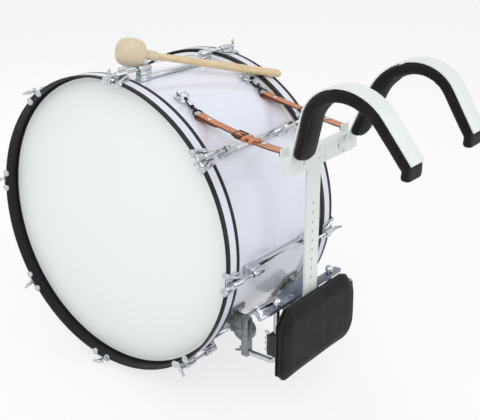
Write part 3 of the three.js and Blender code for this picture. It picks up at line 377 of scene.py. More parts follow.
def wire(points, radius, sides=6, closed=False):
    """A round wire bent smoothly through points, as a closed mesh."""
    deselect()
    bpy.ops.curve.primitive_nurbs_path_add()
    piece = bpy.context.active_object
    piece.data.splines.clear()
    spline = piece.data.splines.new("POLY")
    spline.points.add(len(points) - 1)
    for point, place in zip(spline.points, points):
        point.co = (*place, 1)
    spline.use_cyclic_u = closed
    piece.data.bevel_depth = radius * mm
    piece.data.bevel_resolution = sides
    piece.data.use_fill_caps = not closed
    bpy.ops.object.convert(target="MESH")
    return bpy.context.active_object


def eased(points, count):
    """More points on a smooth curve through the given ones."""
    result = []
    ends = [2 * points[0] - points[1], *points, 2 * points[-1] - points[-2]]
    for index in range(1, len(ends) - 2):
        before, first, second, after = ends[index - 1:index + 3]
        for step in range(count):
            share = step / count
            result.append(0.5 * (
                2 * first + (second - before) * share
                + (2 * before - 5 * first + 4 * second - after) * share ** 2
                + (3 * first - before - 3 * second + after) * share ** 3))
    result.append(points[-1])
    return result


def together(*pieces):
    """Joins pieces into the first one."""
    deselect()
    for piece in pieces:
        piece.select_set(True)
    bpy.context.view_layer.objects.active = pieces[0]
    bpy.ops.object.join()
    return bpy.context.active_object


def copied(piece, *moves):
    """A copy with its own mesh, moved by the given matrices in turn, with its faces still outwards."""
    twin = piece.copy()
    twin.data = piece.data.copy()
    bpy.context.scene.collection.objects.link(twin)
    for move in moves:
        twin.data.transform(move)
        if move.determinant() < 0:
            twin.data.flip_normals()
    return twin


def about(line, angle, centre):
    """A turn about a line through a point."""
    return Matrix.Translation(centre) @ Matrix.Rotation(angle, 4, Vector(line)) @ Matrix.Translation(-centre)


other_side = Matrix.Translation(drum) @ Matrix.Scale(-1, 4, (1, 0, 0)) @ Matrix.Translation(-drum)
station_turns = [about((1, 0, 0), math.radians(first_station_angle + 360 / stations * index), drum)
                 for index in range(stations)]


def finish_pair(piece, name, finish, slot, *moves, body="drum", node=None):
    """Finishes copies of a left piece and of its mirror image. Without a body each rides its node's own."""
    for side, mirror in (("left", []), ("right", [other_side])):
        replaced = [f"{side}_{node}"] if node else []
        finish_piece(copied(piece, *moves, *mirror), f"{side}_{name}", finish, slot, body or replaced[0],
                     *replaced)


def bent_round_drum(piece, seat):
    """Bends a piece made flat on the front side round the drum, from the radius it sits on."""
    for vertex in piece.data.vertices:
        local = (vertex.co - drum) / mm
        turn = local.z / seat
        vertex.co = at(local.x, local.y * math.cos(turn), local.y * math.sin(turn))
    return piece


def subdivided(piece, cuts):
    """Cuts each edge of a piece into equal lengths."""
    select_only(piece)
    bpy.ops.object.mode_set(mode="EDIT")
    bpy.ops.mesh.select_all(action="SELECT")
    bpy.ops.mesh.subdivide(number_cuts=cuts)
    bpy.ops.object.mode_set(mode="OBJECT")
    return piece


def claw():
    front, taper = -hoop_front, 0.72
    saddle = block(at(front - 2.5, 318.2, -24), at(front + 35, 320.6, 24))
    for vertex in saddle.data.vertices:
        if vertex.co.x > at(front + 10, 0, 0).x:
            vertex.co.z = drum.z + (vertex.co.z - drum.z) * taper
    parts = [bent_round_drum(rounded(subdivided(saddle, 5), 0.8, 2), hoop_radius)]
    for side in (-1, 1):
        nose = spun([(0, 0), (8, 0), (8.2, -1), (7.6, -2.8), (6.4, -3.6), (5.2, -3.4), (3.6, -2.8),
                     (0, -2.7)], at(front, 314.6, 18 * side), steps=24)
        rib = wire(eased([at(front - 2, 320, 18.5 * side), at(front + 8, 322.4, 17 * side),
                          at(front + 20, 323.6, 11.5 * side), at(front + 33, 324, 9 * side)], 4), 3.1, 3)
        parts += [nose, rib]
    tube = spun([(3.4, 9), (5.6, 9), (6.5, 10), (6.5, 34), (5.6, 35), (3.4, 35), (3.4, 9)],
                at(front, rod_line, 0), steps=20)
    web = block(at(front + 10, 319, -5.5), at(front + 34, rod_line - 3, 5.5), 1.0)
    return together(*parts, tube, web)


first_claw = claw()
for index, turn in enumerate(station_turns, start=1):
    finish_pair(first_claw, f"claw_{index}", polished_chrome, "chrome", turn)
bpy.data.objects.remove(first_claw)

# LUGS: double-ended chromed castings screwed to the shell. A slim ridge joins two end blocks, and each
# block carries a threaded tube that takes one tension rod.
fitting_seat = 303.4


def lug():
    parts = [block(at(-112, fitting_seat, -6), at(112, 312.6, 6), 2.4, 3)]
    for end in (-1, 1):
        inner, outer = sorted((end * 78, end * 112.5))
        foot = block(at(inner, fitting_seat, -9.5), at(outer, 307.6, 9.5), 1.6)
        body = block(at(inner + 1, 303.6, -7.6), at(outer - 1, 322, 7.6), 2.6, 3)
        neck = block(at(inner + 1, 318, -6), at(outer - 1, rod_line, 6), 1.4)
        tube = spun([(3.6, end * 86), (3.6, end * 111.4), (4.6, end * 112.5), (6.4, end * 112.5),
                     (7.5, end * 111.2), (7.5, end * 109), (7.0, end * 108.4), (7.0, end * 83),
                     (6, end * 79.5), (3, end * 78), (0, end * 78), (0, end * 86), (3.6, end * 86)],
                    at(0, rod_line, 0), steps=24)
        parts += [foot, body, neck, tube]
    return together(*parts)


first_lug = lug()
for index, turn in enumerate(station_turns, start=1):
    finish_piece(copied(first_lug, turn), f"cast_lug_{index}", polished_chrome, "chrome", "drum",
                 f"lug_{index}")
bpy.data.objects.remove(first_lug)

# TENSION RODS: plated steel rods, threaded where they enter the lug, each with a cross handle that is
# turned by hand and a washer under its shoulder.
handle_turns = [63, 18, 84, 75, 58, 96, 160, 80]
rod_radius = 3


def thread(start, pitch, steps, depth=0.35):
    """The outline of a thread: crests and roots in turn from a distance along the rod."""
    return [(rod_radius - depth * (step % 2), start + step * pitch) for step in steps]


def tension_rod(handle_turn):
    on_line = at(0, rod_line, 0)
    handle_at = -hoop_front - 9
    shaft = spun([(0, handle_at), (rod_radius, handle_at), (rod_radius, -122),
                  *thread(-122, 1.1, range(1, 31)), (2.2, -88), (0, -87.4)], on_line, steps=16)
    handle = spun(with_mirror([(0, -17), (1.6, -16.6), (2.7, -15.4), (3, -14), (3, -4), (4.2, -2.6)]),
                  at(handle_at, rod_line, 0), (0, 0, 1), (1, 0, 0), 16)
    handle.data.transform(about((1, 0, 0), math.radians(handle_turn), on_line))
    shoulder = spun([(0, handle_at - 3), (3.4, handle_at - 3), (4.4, handle_at - 1.6), (4.4, handle_at + 4),
                     (3.6, handle_at + 6), (0, handle_at + 6)], on_line, steps=20)
    washer = -hoop_front + 7.3
    collar = spun([(3.1, washer), (6, washer), (6.3, washer + 0.4), (6.3, washer + 1.3), (3.1, washer + 1.3),
                   (3.1, washer)], on_line, steps=20)
    return together(shaft, handle, shoulder, collar)


for index, (turn, handle_turn) in enumerate(zip(station_turns, handle_turns), start=1):
    first_rod = tension_rod(handle_turn)
    finish_pair(first_rod, f"handled_rod_{index}", polished_chrome, "chrome", turn, body=None,
                node=f"tension_rod_{index}")
    bpy.data.objects.remove(first_rod)

# DRUM BRACKETS: tumbled castings screwed to the shell low on the wearer's side. An arm reaches out from
# a curved foot to a flat hanger that the leg rod ends in, and a grooved disc stands beside them.
tumbled_metal = finish_with(
    "tumbled casting", colour(150, 154, 156), colour(122, 127, 130), 70, (0.3, 0.46), (0.25, 0.3),
    metallic=0.9)
leg_x = -95
leg_y = -371
leg_end_z = -227


def rod(start, end, radius, sides=24):
    """A round bar from one point to another."""
    deselect()
    run = end - start
    bpy.ops.mesh.primitive_cylinder_add(
        vertices=sides, radius=radius * mm, depth=run.length, location=(start + end) / 2,
        rotation=run.to_track_quat("Z", "Y").to_euler())
    bpy.ops.object.transform_apply()
    return bpy.context.active_object


def cut_by(piece, tool):
    """Cuts one piece out of another."""
    modified(piece, "BOOLEAN", operation="DIFFERENCE", object=tool)
    bpy.data.objects.remove(tool)


def screw_head(centre, out, radius, height):
    """A six-sided screw head with a chamfered rim, standing on a face."""
    return rounded(rod(centre, centre + Vector(out) * (height * mm), radius, 6), height * 0.16, 1)


def drum_bracket():
    away, lean = 328.9, math.radians(211.6)
    y, z = away * math.cos(lean), away * math.sin(lean)
    disc_z = z - 15.3
    disc = spun(with_mirror([(0, -9), (6, -9), (6.4, -7.4), (18, -7.4), (19, -8.4), (24.2, -8.4), (25, -7.4),
                             (25, -3), (23.8, -2)]), at(leg_x + 15, y, disc_z), steps=64)
    foot = block(at(-24, fitting_seat, -31), at(24, 307.8, 31))
    bent_round_drum(rounded(subdivided(foot, 6), 1.2, 2), fitting_seat)
    foot.data.transform(about((1, 0, 0), lean, drum) @ Matrix.Translation((leg_x * mm, 0, 0)))
    arm_rise, hanger_slope = 4 * mm, 5 * mm
    arm = block(at(leg_x - 8.2, -303.6, z - 6), at(leg_x + 8.2, y + 34, z + 23.4))
    for vertex in arm.data.vertices:
        if vertex.co.y > at(0, y, 0).y:
            vertex.co.z += arm_rise
    rounded(arm, 2.4, 3)
    cut_by(arm, rod(at(-140, 0, 0), at(-40, 0, 0), 304.4, round_steps))
    hanger = block(at(leg_x - 9, -306, -235.6), at(leg_x + 9, -289, -146))
    for vertex in hanger.data.vertices:
        if vertex.co.z > at(0, 0, -200).z and vertex.co.y < at(0, -297, 0).y:
            vertex.co.z -= hanger_slope
    rounded(hanger, 2.4, 3)
    cut_by(hanger, rod(at(leg_x, -312, leg_end_z), at(leg_x, -284, leg_end_z), 6.3, 24))
    parts = [disc, foot, arm, hanger]
    for rib_x in (leg_x - 7.2, leg_x + 7.2):
        parts.append(block(at(rib_x - 1.6, -300, z - 16), at(rib_x + 1.6, y + 18, z - 2), 1.2))
    for across in (-19, 19):
        for turn in (-4.6, 4.6):
            angle = lean + math.radians(turn)
            out = Vector((0, math.cos(angle), math.sin(angle)))
            parts.append(screw_head(at(leg_x + across, 307.2 * out.y, 307.2 * out.z), out, 3.6, 3.4))
    return together(*parts, screw_head(at(leg_x + 22, y, disc_z), (1, 0, 0), 6.5, 3.4),
                    screw_head(at(leg_x - 8.6, y + 14, z + 10), (-1, 0, 0), 5, 3))


first_bracket = drum_bracket()
finish_pair(first_bracket, "cast_bracket", tumbled_metal, "grey_casting", node="drum_bracket")
bpy.data.objects.remove(first_bracket)

# LEG RODS: chromed steel rods that carry the drum on the belly rest. Each hangs from the crossbar under
# an acorn cap, bends forward at its foot and ends in a thread with a wing nut.


def leg_rod():
    bend_radius = 16
    bend = [at(leg_x, leg_y + bend_radius * (1 - math.cos(turn)),
               leg_end_z + bend_radius * (1 - math.sin(turn)))
            for turn in [math.pi / 2 * step / 8 for step in range(9)]]
    tube = wire([at(leg_x, leg_y, -93.8), *bend, at(leg_x, -289.2, leg_end_z)], 6, 5)
    end = spun([(0, -291), *thread(-290, 0.6, range(16)), (2, -280.3), (0, -280)],
               at(leg_x, 0, leg_end_z), (0, 1, 0), (1, 0, 0), 14)
    cap = spun([(0, -94), (8, -94), (8.5, -93.3), (8.5, -90), (7.6, -88.6), (6.6, -85.8), (4.4, -84.2),
                (0, -84)], at(leg_x, leg_y, 0), (0, 0, 1), (1, 0, 0), 32)
    nut = screw_head(at(leg_x, leg_y, -99.7), (0, 0, 1), 8.2, 5.6)
    return together(tube, end, cap, nut)


first_leg = leg_rod()
finish_pair(first_leg, "bent_leg", polished_chrome, "chrome", node="leg_rod")
bpy.data.objects.remove(first_leg)

# WING NUTS AND WING SCREWS: small chromed castings turned by finger and thumb, two on the ends of the
# leg rods and two on each belly clamp.


def crosswise(middle, line, half, radius, sides=24):
    """A round bar that reaches as far to either side of a point."""
    return rod(middle - line * (half * mm), middle + line * (half * mm), radius, sides)


def winged(centre, shank, turn):
    """A hub with two rounded wings, its line along +Y. A shank of some length goes in behind it."""
    hub = [(5.4, 0), (5.8, 0.8), (4.6, 5), (4, 8)]
    hub = [(0, 0), *hub, (3, 9), (0, 9)] if shank else [(3.4, 0), *hub, (3.4, 8), (3.4, 0)]
    parts = [spun(hub, centre, (0, 1, 0), (1, 0, 0), 24)]
    for side in (-1, 1):
        wing = crosswise(centre + Vector((side * 6.6, 9.6, 0)) * mm, Vector((0, 0, 1)), 1.3, 5.8, 20)
        wing.data.transform(Matrix.Translation(centre) @ Matrix.Diagonal((0.74, 0.9, 1, 1))
                            @ Matrix.Translation(-centre))
        wing.data.transform(Matrix.Translation((side * 2.2 * mm, mm, 0)))
        parts.append(rounded(wing, 0.7, 2))
    if shank:
        parts.append(rod(centre + Vector((0, mm, 0)), centre - Vector((0, shank * mm, 0)), rod_radius, 16))
    piece = together(*parts)
    piece.data.transform(about((0, 1, 0), turn, centre))
    return piece


for side, sign in sides:
    name = side + "_leg_wing_nut"
    finish_piece(winged(at(-sign * leg_x, -288.7, leg_end_z), 0, 0), side + "_leg_wings", polished_chrome,
                 "chrome", name, name)
    for level, height in (("upper", -173), ("lower", -199)):
        name = f"{side}_clamp_wing_{level}"
        finish_piece(winged(at(-sign * leg_x, -357.7, height), 3.6, math.pi / 2),
                     f"{side}_{level}_clamp_wings", polished_chrome, "chrome", name, name)

# LOWER CROSSBAR: a zinc-plated steel bar across the carrier's foot, with a sleeve that the spine slides
# in and two folded webs that brace it. The leg rods hang from its ends.


def from_solid(node, join_flats):
    """A free copy of one of the frame's solids, its split points merged and its flat faces joined or not."""
    piece = copied(nodes[node])
    piece.parent = None
    for key in list(piece.keys()):
        del piece[key]
    select_only(piece)
    bpy.ops.object.mode_set(mode="EDIT")
    bpy.ops.mesh.select_all(action="SELECT")
    bpy.ops.mesh.remove_doubles(threshold=0.01 * mm)
    if join_flats:
        bpy.ops.mesh.dissolve_limited(angle_limit=math.radians(1))
    bpy.ops.object.mode_set(mode="OBJECT")
    return piece


def machined(node, width, segments=2, angle=40):
    """A copy of a flat-sided solid with its edges eased."""
    return rounded(from_solid(node, join_flats=True), width, segments, angle)


zinc_plate = finish_with(
    "zinc plated steel", colour(158, 165, 178), colour(136, 143, 157), 45, (0.3, 0.44), (0.12, 0.2),
    metallic=0.85)
crossbar_parts = [machined("lower_crossbar", 0.7)]
for across in (-46, 46):
    crossbar_parts.append(screw_head(at(across, leg_y, -100.2), (0, 0, 1), 6, 4.2))
for side, sign in sides:
    crossbar_parts.append(screw_head(at(sign * 24.4, leg_y - 3, -84), (sign, 0, 0), 3.2, 2.6))
finish_piece(together(*crossbar_parts), "plated_crossbar", zinc_plate, "grey_steel", "drum", "lower_crossbar",
             smooth=25)

# SPINE AND CROSS PLATE: aluminium in white powder coat. The spine is a flat bar with height holes, and
# the cross plate a shallow folded channel that is bolted to its top and carries bows and straps.
powder_coat = finish_with(
    "white powder coat", colour(226, 230, 226), colour(221, 225, 221), 420, (0.36, 0.5), (0.2, 0.12))
finish_piece(machined("spine", 0.5), "coated_spine", powder_coat, "white_paint", "carrier", "spine",
             smooth=25)
finish_piece(machined("cross_plate", 0.6), "coated_cross_plate", powder_coat, "white_paint", "carrier",
             "cross_plate", smooth=25)

# SHOULDER PLATES: strips bent over a former and coated like the spine. Each foot is bolted through a
# slot of the cross plate, so the bows can be set to the wearer's shoulders.
for side, _ in sides:
    finish_piece(machined(side + "_shoulder_plate", 0.5, 2, 35), side + "_coated_bow", powder_coat,
                 "white_paint", side + "_shoulder_bow", side + "_shoulder_plate", smooth=28)

# PADS: firm foam in black covers. The sides are a close black band and the faces charcoal jersey, sewn
# together along corded edges. The shoulder pads follow their bows, and the belly pad its plate.


def fine_relief(material, scale, strength, depth):
    """Adds small cells on top of a finish's soft relief."""
    tree = material.node_tree
    soft = first_of(tree, "BUMP")
    place = add_node(tree, "TexCoord")
    cells = add_node(tree, "TexVoronoi", {"Scale": scale})
    relief = add_node(tree, "Bump", {"Strength": strength, "Distance": depth * mm})
    connect(tree, (place, "Object", cells, "Vector"), (cells, "Distance", relief, "Height"),
            (soft, "Normal", relief, "Normal"),
            (relief, "Normal", tree.nodes["Principled BSDF"], "Normal"))


def cover_finish(name, band, face):
    """Charcoal jersey, and a darker band where the attribute says so, both with a fine knit."""
    darker_face = tuple(0.72 * value for value in face[:3]) + (1,)
    material = finish_with(name, face, darker_face, 30, (0.75, 0.9), (0.25, 0.5), sheen=0.07)
    tree = material.node_tree
    give(tree.nodes["Principled BSDF"], {"Specular IOR Level": 0.25})
    tint(material, band, add_node(tree, "Attribute", attribute_name="band"), "Fac")
    fine_relief(material, 900, 0.35, 0.25)
    return material


def mark_band(pad, share_at):
    """Stores for each point of a pad how far it lies in the dark band, for its cover to read."""
    shares = pad.data.attributes.new("band", "FLOAT", "POINT")
    for vertex in pad.data.vertices:
        shares.data[vertex.index].value = min(1, max(0, share_at(vertex)))


def on_surface(piece, place):
    """The point of a piece's surface that is nearest to a place."""
    found, nearest, _, _ = piece.closest_point_on_mesh(place)
    return nearest if found else place


def stuffed(node, cap):
    """A foam pad: a slightly smaller copy of its solid, swelled under pressure and held to a cap."""
    piece = from_solid(node, join_flats=False)
    modified(piece, "REMESH", mode="VOXEL", voxel_size=4 * mm)
    modified(piece, "SMOOTH", iterations=3)
    modified(piece, "DISPLACE", strength=-1.6 * mm, mid_level=0)
    before = [vertex.co.copy() for vertex in piece.data.vertices]
    cloth = piece.modifiers.new("swell", "CLOTH")
    cloth.settings.use_pressure = True
    cloth.settings.uniform_pressure_force = 4
    cloth.settings.effector_weights.gravity = 0
    cloth.settings.quality = 4
    scene, frames = bpy.context.scene, 20
    scene.frame_start = cloth.point_cache.frame_start = 1
    scene.frame_end = cloth.point_cache.frame_end = frames
    for step in range(1, frames + 1):
        scene.frame_set(step)
    select_only(piece)
    bpy.ops.object.modifier_apply(modifier=cloth.name)
    scene.frame_set(1)
    for vertex, start in zip(piece.data.vertices, before):
        moved = vertex.co - start
        if moved.length > cap * mm:
            vertex.co = start + moved.normalized() * (cap * mm)
    return modified(piece, "SUBSURF", levels=1, render_levels=1)


bow_centre = (-533.49, 271.64)
bow_radius = 94.3
bow_foot = (-96, -406.1, 214)
bow_splay = (0.18, 0.06)
bow_leg_turn = math.radians(18.6)
bow_back_turn = math.radians(145)


def bow_place(across, lift, angle, leg):
    """A place by the left bow: across its strip, in from it, and along its legs or round its arc."""
    y = bow_centre[0] + (bow_radius - lift) * math.cos(angle) - leg * math.sin(angle)
    z = bow_centre[1] + (bow_radius - lift) * math.sin(angle) + leg * math.cos(angle)
    splay = bow_splay[0] * max(0, z - bow_foot[2]) + bow_splay[1] * (bow_foot[1] - y)
    return at(bow_foot[0] - splay + across, y, z)


def pad_edge(across, lift=20.6):
    """The line of a shoulder pad's sewn edge, from its front end to its tail."""
    arc = [bow_leg_turn + (bow_back_turn - bow_leg_turn) * step / 18 for step in range(19)]
    return [*[bow_place(across, lift, bow_leg_turn, -leg) for leg in (80, 60, 40, 20)],
            *[bow_place(across, lift, angle, 0) for angle in arc],
            *[bow_place(across, lift, bow_back_turn, leg) for leg in (20, 40, 60, 82)]]


shoulder_cover = cover_finish("shoulder cover", colour(8, 9, 10), colour(32, 33, 36))
cord_finish = finish_with("edge cord", colour(10, 10, 11), colour(22, 22, 24), 300, (0.7, 0.85), (0.4, 0.3),
                          sheen=0.1)
for side, _ in sides:
    pad = stuffed(side + "_shoulder_pad", 2.0)
    mark_band(pad, lambda vertex: (abs(vertex.normal.x) - 0.55) / 0.15)
    finish_piece(pad, side + "_stuffed_shoulder_pad", shoulder_cover, "black_fabric", side + "_shoulder_bow",
                 side + "_shoulder_pad", smooth=60)
    cords = []
    for across in (-25.6, 25.6):
        edge = [place if side == "left" else other_side @ place for place in pad_edge(across)]
        cords.append(wire(eased([on_surface(pad, place) for place in edge], 3), 0.9, 2))
    finish_piece(together(*cords), side + "_shoulder_pad_cords", cord_finish, "black_fabric",
                 side + "_shoulder_bow", smooth=60)

belly_cover = cover_finish("belly cover", colour(7, 7, 8), colour(22, 22, 24))
belly_pad = stuffed("belly_pad", 2.4)
mark_band(belly_pad, lambda vertex: (0.62 - abs(vertex.normal.y)) / 0.15)
finish_piece(belly_pad, "stuffed_belly_pad", belly_cover, "black_fabric", "belly", "belly_pad", smooth=60)


def belly_edge():
    """The sewn edge of the belly pad: straight sides, cut-off upper corners and rounded lower ones."""
    outline = [(0, -91.6), (60, -91.6), (103, -91.6), (121, -108), (137.4, -124.6), (137.6, -180),
               (137.2, -219)]
    corner = 31
    outline += [(106 + corner * math.cos(turn), -219.6 - corner * math.sin(turn))
                for turn in [math.pi / 2 * step / 6 for step in range(1, 7)]]
    outline += [(60, -250.6), (0, -250.6)]
    outline += [(-x, z) for x, z in reversed(outline[1:-1])]
    edge_y = -405.8
    return [at(x, edge_y - max(0, abs(x) - 114) ** 2 / 240, z) for x, z in outline]


belly_cord = belly_edge()
belly_cord = eased([on_surface(belly_pad, place) for place in [*belly_cord, belly_cord[0]]], 4)[:-1]
finish_piece(wire(belly_cord, 1.1, 2, closed=True), "belly_pad_cord", cord_finish, "black_fabric", "belly",
             smooth=60)

# BELLY PLATE AND CLAMPS: a bent plate in satin black with a moulded clamp at each end that grips a leg
# rod, so the rest can be set to the wearer's height.
satin_black = finish_with("satin black paint", colour(24, 24, 26), colour(32, 32, 34), 60, (0.36, 0.5),
                          (0.1, 0.2))
moulded_black = finish_with("moulded black", colour(28, 28, 30), colour(38, 38, 41), 120, (0.5, 0.65),
                            (0.3, 0.2))
finish_piece(machined("belly_plate", 0.5), "black_belly_plate", satin_black, "black_paint", "belly",
             "belly_plate")
for side, _ in sides:
    finish_piece(machined(side + "_belly_clamp", 1.6, 3), side + "_moulded_clamp", moulded_black,
                 "black_plastic", "belly", side + "_belly_clamp")

# RINGS AND SNAP HOOKS: a chromed ring hangs in a screw eye on the shell. A blackened snap hook is clipped
# on it, closed by a sprung gate, and turns on a swivel whose loop carries the strap.
blackened_steel = finish_with(
    "blackened steel", colour(22, 23, 27), colour(36, 37, 42), 80, (0.26, 0.4), (0.1, 0.2), metallic=0.4)
strap_places = {
    "left": {"eye_x": -92, "swing": 0, "lean": 36, "middle_x": -91, "end_x": -104},
    "right": {"eye_x": 118, "swing": 14, "lean": 5, "middle_x": 130, "end_x": 104},
}
eye_turn = math.radians(114)
eye_out = Vector((0, math.cos(eye_turn), math.sin(eye_turn)))
hook_dip = math.radians(38)
hook_aim = Vector((0, -math.cos(hook_dip), -math.sin(hook_dip)))
sideways = Vector((1, 0, 0))
eye_reach = 312
ring_radius = 12


def ring_frame(eye_x, swing, lean, **_):
    """Where a ring and its hook lie: the eye, the pull, the ring's middle and line, and the hook's."""
    along = Vector((0, -math.sin(eye_turn), math.cos(eye_turn)))
    swing, lean = math.radians(swing), math.radians(lean)
    pull = along * math.cos(swing) + sideways * math.copysign(math.sin(swing), eye_x)
    eye = at(eye_x, eye_reach * eye_out.y, eye_reach * eye_out.z)
    middle = eye + pull * (10 * mm)
    line = eye_out * math.cos(lean) - sideways * math.sin(lean)
    line = (line - pull * line.dot(pull)).normalized()
    hook_at = middle + pull * (ring_radius * mm)
    hook_side = (line - hook_aim * line.dot(hook_aim)).normalized()
    return eye, pull, middle, line, hook_at, hook_side


def torus(centre, line, radius, thickness):
    """A round ring about a line."""
    deselect()
    bpy.ops.mesh.primitive_torus_add(
        major_radius=radius * mm, minor_radius=thickness * mm, major_segments=48, minor_segments=14,
        location=centre, rotation=line.to_track_quat("Z", "Y").to_euler())
    bpy.ops.object.transform_apply()
    return bpy.context.active_object


def ring_and_eye(eye_x, eye, pull, middle, line):
    """A screwed plate with an eye, and the ring that hangs in it."""
    plate = spun([(0, fitting_seat), (8.6, fitting_seat), (9, 303.8), (8.6, 305), (5, 306), (3.4, 308),
                  (0, 308)], at(eye_x, 0, 0), eye_out, (1, 0, 0), 32)
    screws = [screw_head(at(eye_x + step, 304.4 * eye_out.y, 304.4 * eye_out.z), eye_out, 1.5, 1.4)
              for step in (-6.4, 6.4)]
    return together(plate, *screws, torus(eye - pull * (0.6 * mm), line.cross(pull), 5, 1.7),
                    torus(middle, line, ring_radius, 1.9))


def snap_hook(hook_at, hook_side):
    """A bent hook with its gate's pin, a swivel and the loop for the strap, along the hook's aim."""
    def bent(places, lateral_line, count, radius):
        return wire(eased([hook_at + hook_aim * (along * mm) + lateral_line * (lateral * mm)
                           for along, lateral in places], count), radius, 4)

    bend = bent(((2.6, 6), (0.4, 6.1), (-3, 4.6), (-4.8, 0), (-3, -4.6), (1, -6.1), (8, -6.1), (13.5, -5.4),
                 (18, -1)), hook_side, 5, 2.7)
    arm = bent(((20, 0), (17.8, 2.6), (16.8, 5.4)), hook_side, 4, 2.2)
    pin = crosswise(hook_at + hook_aim * (15.2 * mm) + hook_side * (5.9 * mm), hook_side.cross(hook_aim),
                    3.2, 1.1, 12)
    swivel = spun([(0, 16), (3.4, 16), (4.6, 17.4), (4.6, 20.4), (3.4, 21.6), (2.4, 22.2), (2.4, 24),
                   (4, 24.6), (5.2, 26), (5.2, 28.4), (4, 29.8), (0, 30)], hook_at, hook_aim, (1, 0, 0), 24)
    loop = bent(with_mirror([(28.6, 3), (30.2, 8.6), (34, 11.8), (39.6, 12.2), (42.4, 10.4), (42.9, 6)],
                            (42.9, 0)), sideways, 4, 1.8)
    return together(bend, arm, rounded(pin, 0.3), swivel, loop)


for side, places in strap_places.items():
    *ring, hook_at, hook_side = ring_frame(**places)
    finish_piece(ring_and_eye(places["eye_x"], *ring), side + "_ring_and_eye", polished_chrome, "chrome",
                 "drum", side + "_strap_ring", smooth=50)
    finish_piece(snap_hook(hook_at, hook_side), side + "_forged_hook", blackened_steel, "black_steel",
                 "drum", side + "_snap_hook", smooth=50)
    finish_piece(machined(side + "_hook_gate", 0.9, 3), side + "_sprung_gate", polished_chrome, "chrome",
                 side + "_hook_gate", side + "_hook_gate")

# STRAPS: tan bridle leather with burnished dark edges. A billet is folded round the hook's loop and
# riveted. It goes through a buckle and lies under keepers on the carrier's strap, and that one is
# riveted to its tab.


def leather_finish():
    """Tan leather with a fine grain, dark where it is burnished at its cut edges."""
    material = finish_with(
        "tan bridle leather", colour(206, 138, 98), colour(188, 116, 76), 60, (0.4, 0.56), (0.35, 0.4))
    tree = material.node_tree
    cut_edge = add_node(tree, "Attribute", attribute_name="cut_edge")
    burnish = add_node(tree, "MapRange", {"From Min": 0.72, "From Max": 0.98})
    connect(tree, (cut_edge, "Fac", burnish, "Value"))
    tint(material, colour(104, 56, 34), burnish, "Result")
    fine_relief(material, 700, 0.3, 0.2)
    return material


def ribbon(line, widths, thickness):
    """A strip of leather along a line of places, as wide as the list says, shared out along it."""
    deselect()
    rows = len(line)
    bpy.ops.mesh.primitive_grid_add(x_subdivisions=6, y_subdivisions=rows - 1, size=2)
    piece = bpy.context.active_object
    edge = piece.data.attributes.new("cut_edge", "FLOAT", "POINT")
    for vertex in piece.data.vertices:
        row = round((vertex.co.y + 1) / 2 * (rows - 1))
        share = row / (rows - 1) * (len(widths) - 1)
        first = min(int(share), len(widths) - 2)
        width = widths[first] + (widths[first + 1] - widths[first]) * (share - first)
        edge.data[vertex.index].value = max(abs(vertex.co.x), 1.0 if row in (0, rows - 1) else 0.0)
        vertex.co = line[row] + sideways * (vertex.co.x * width / 2 * mm)
    modified(piece, "SOLIDIFY", thickness=thickness * mm, offset=0)
    return rounded(piece, 0.6, 2, 60)


tan_leather = leather_finish()
bronzed_steel = finish_with(
    "bronzed buckle steel", colour(84, 62, 48), colour(60, 44, 36), 90, (0.28, 0.42), (0.1, 0.2),
    metallic=0.85)
waxed_thread = finish_with("waxed thread", colour(232, 208, 170), colour(214, 186, 146), 500, (0.6, 0.75),
                           (0.2, 0.1))
strap_length = 209
strap_middle_z = 227
bar_along = 93.4

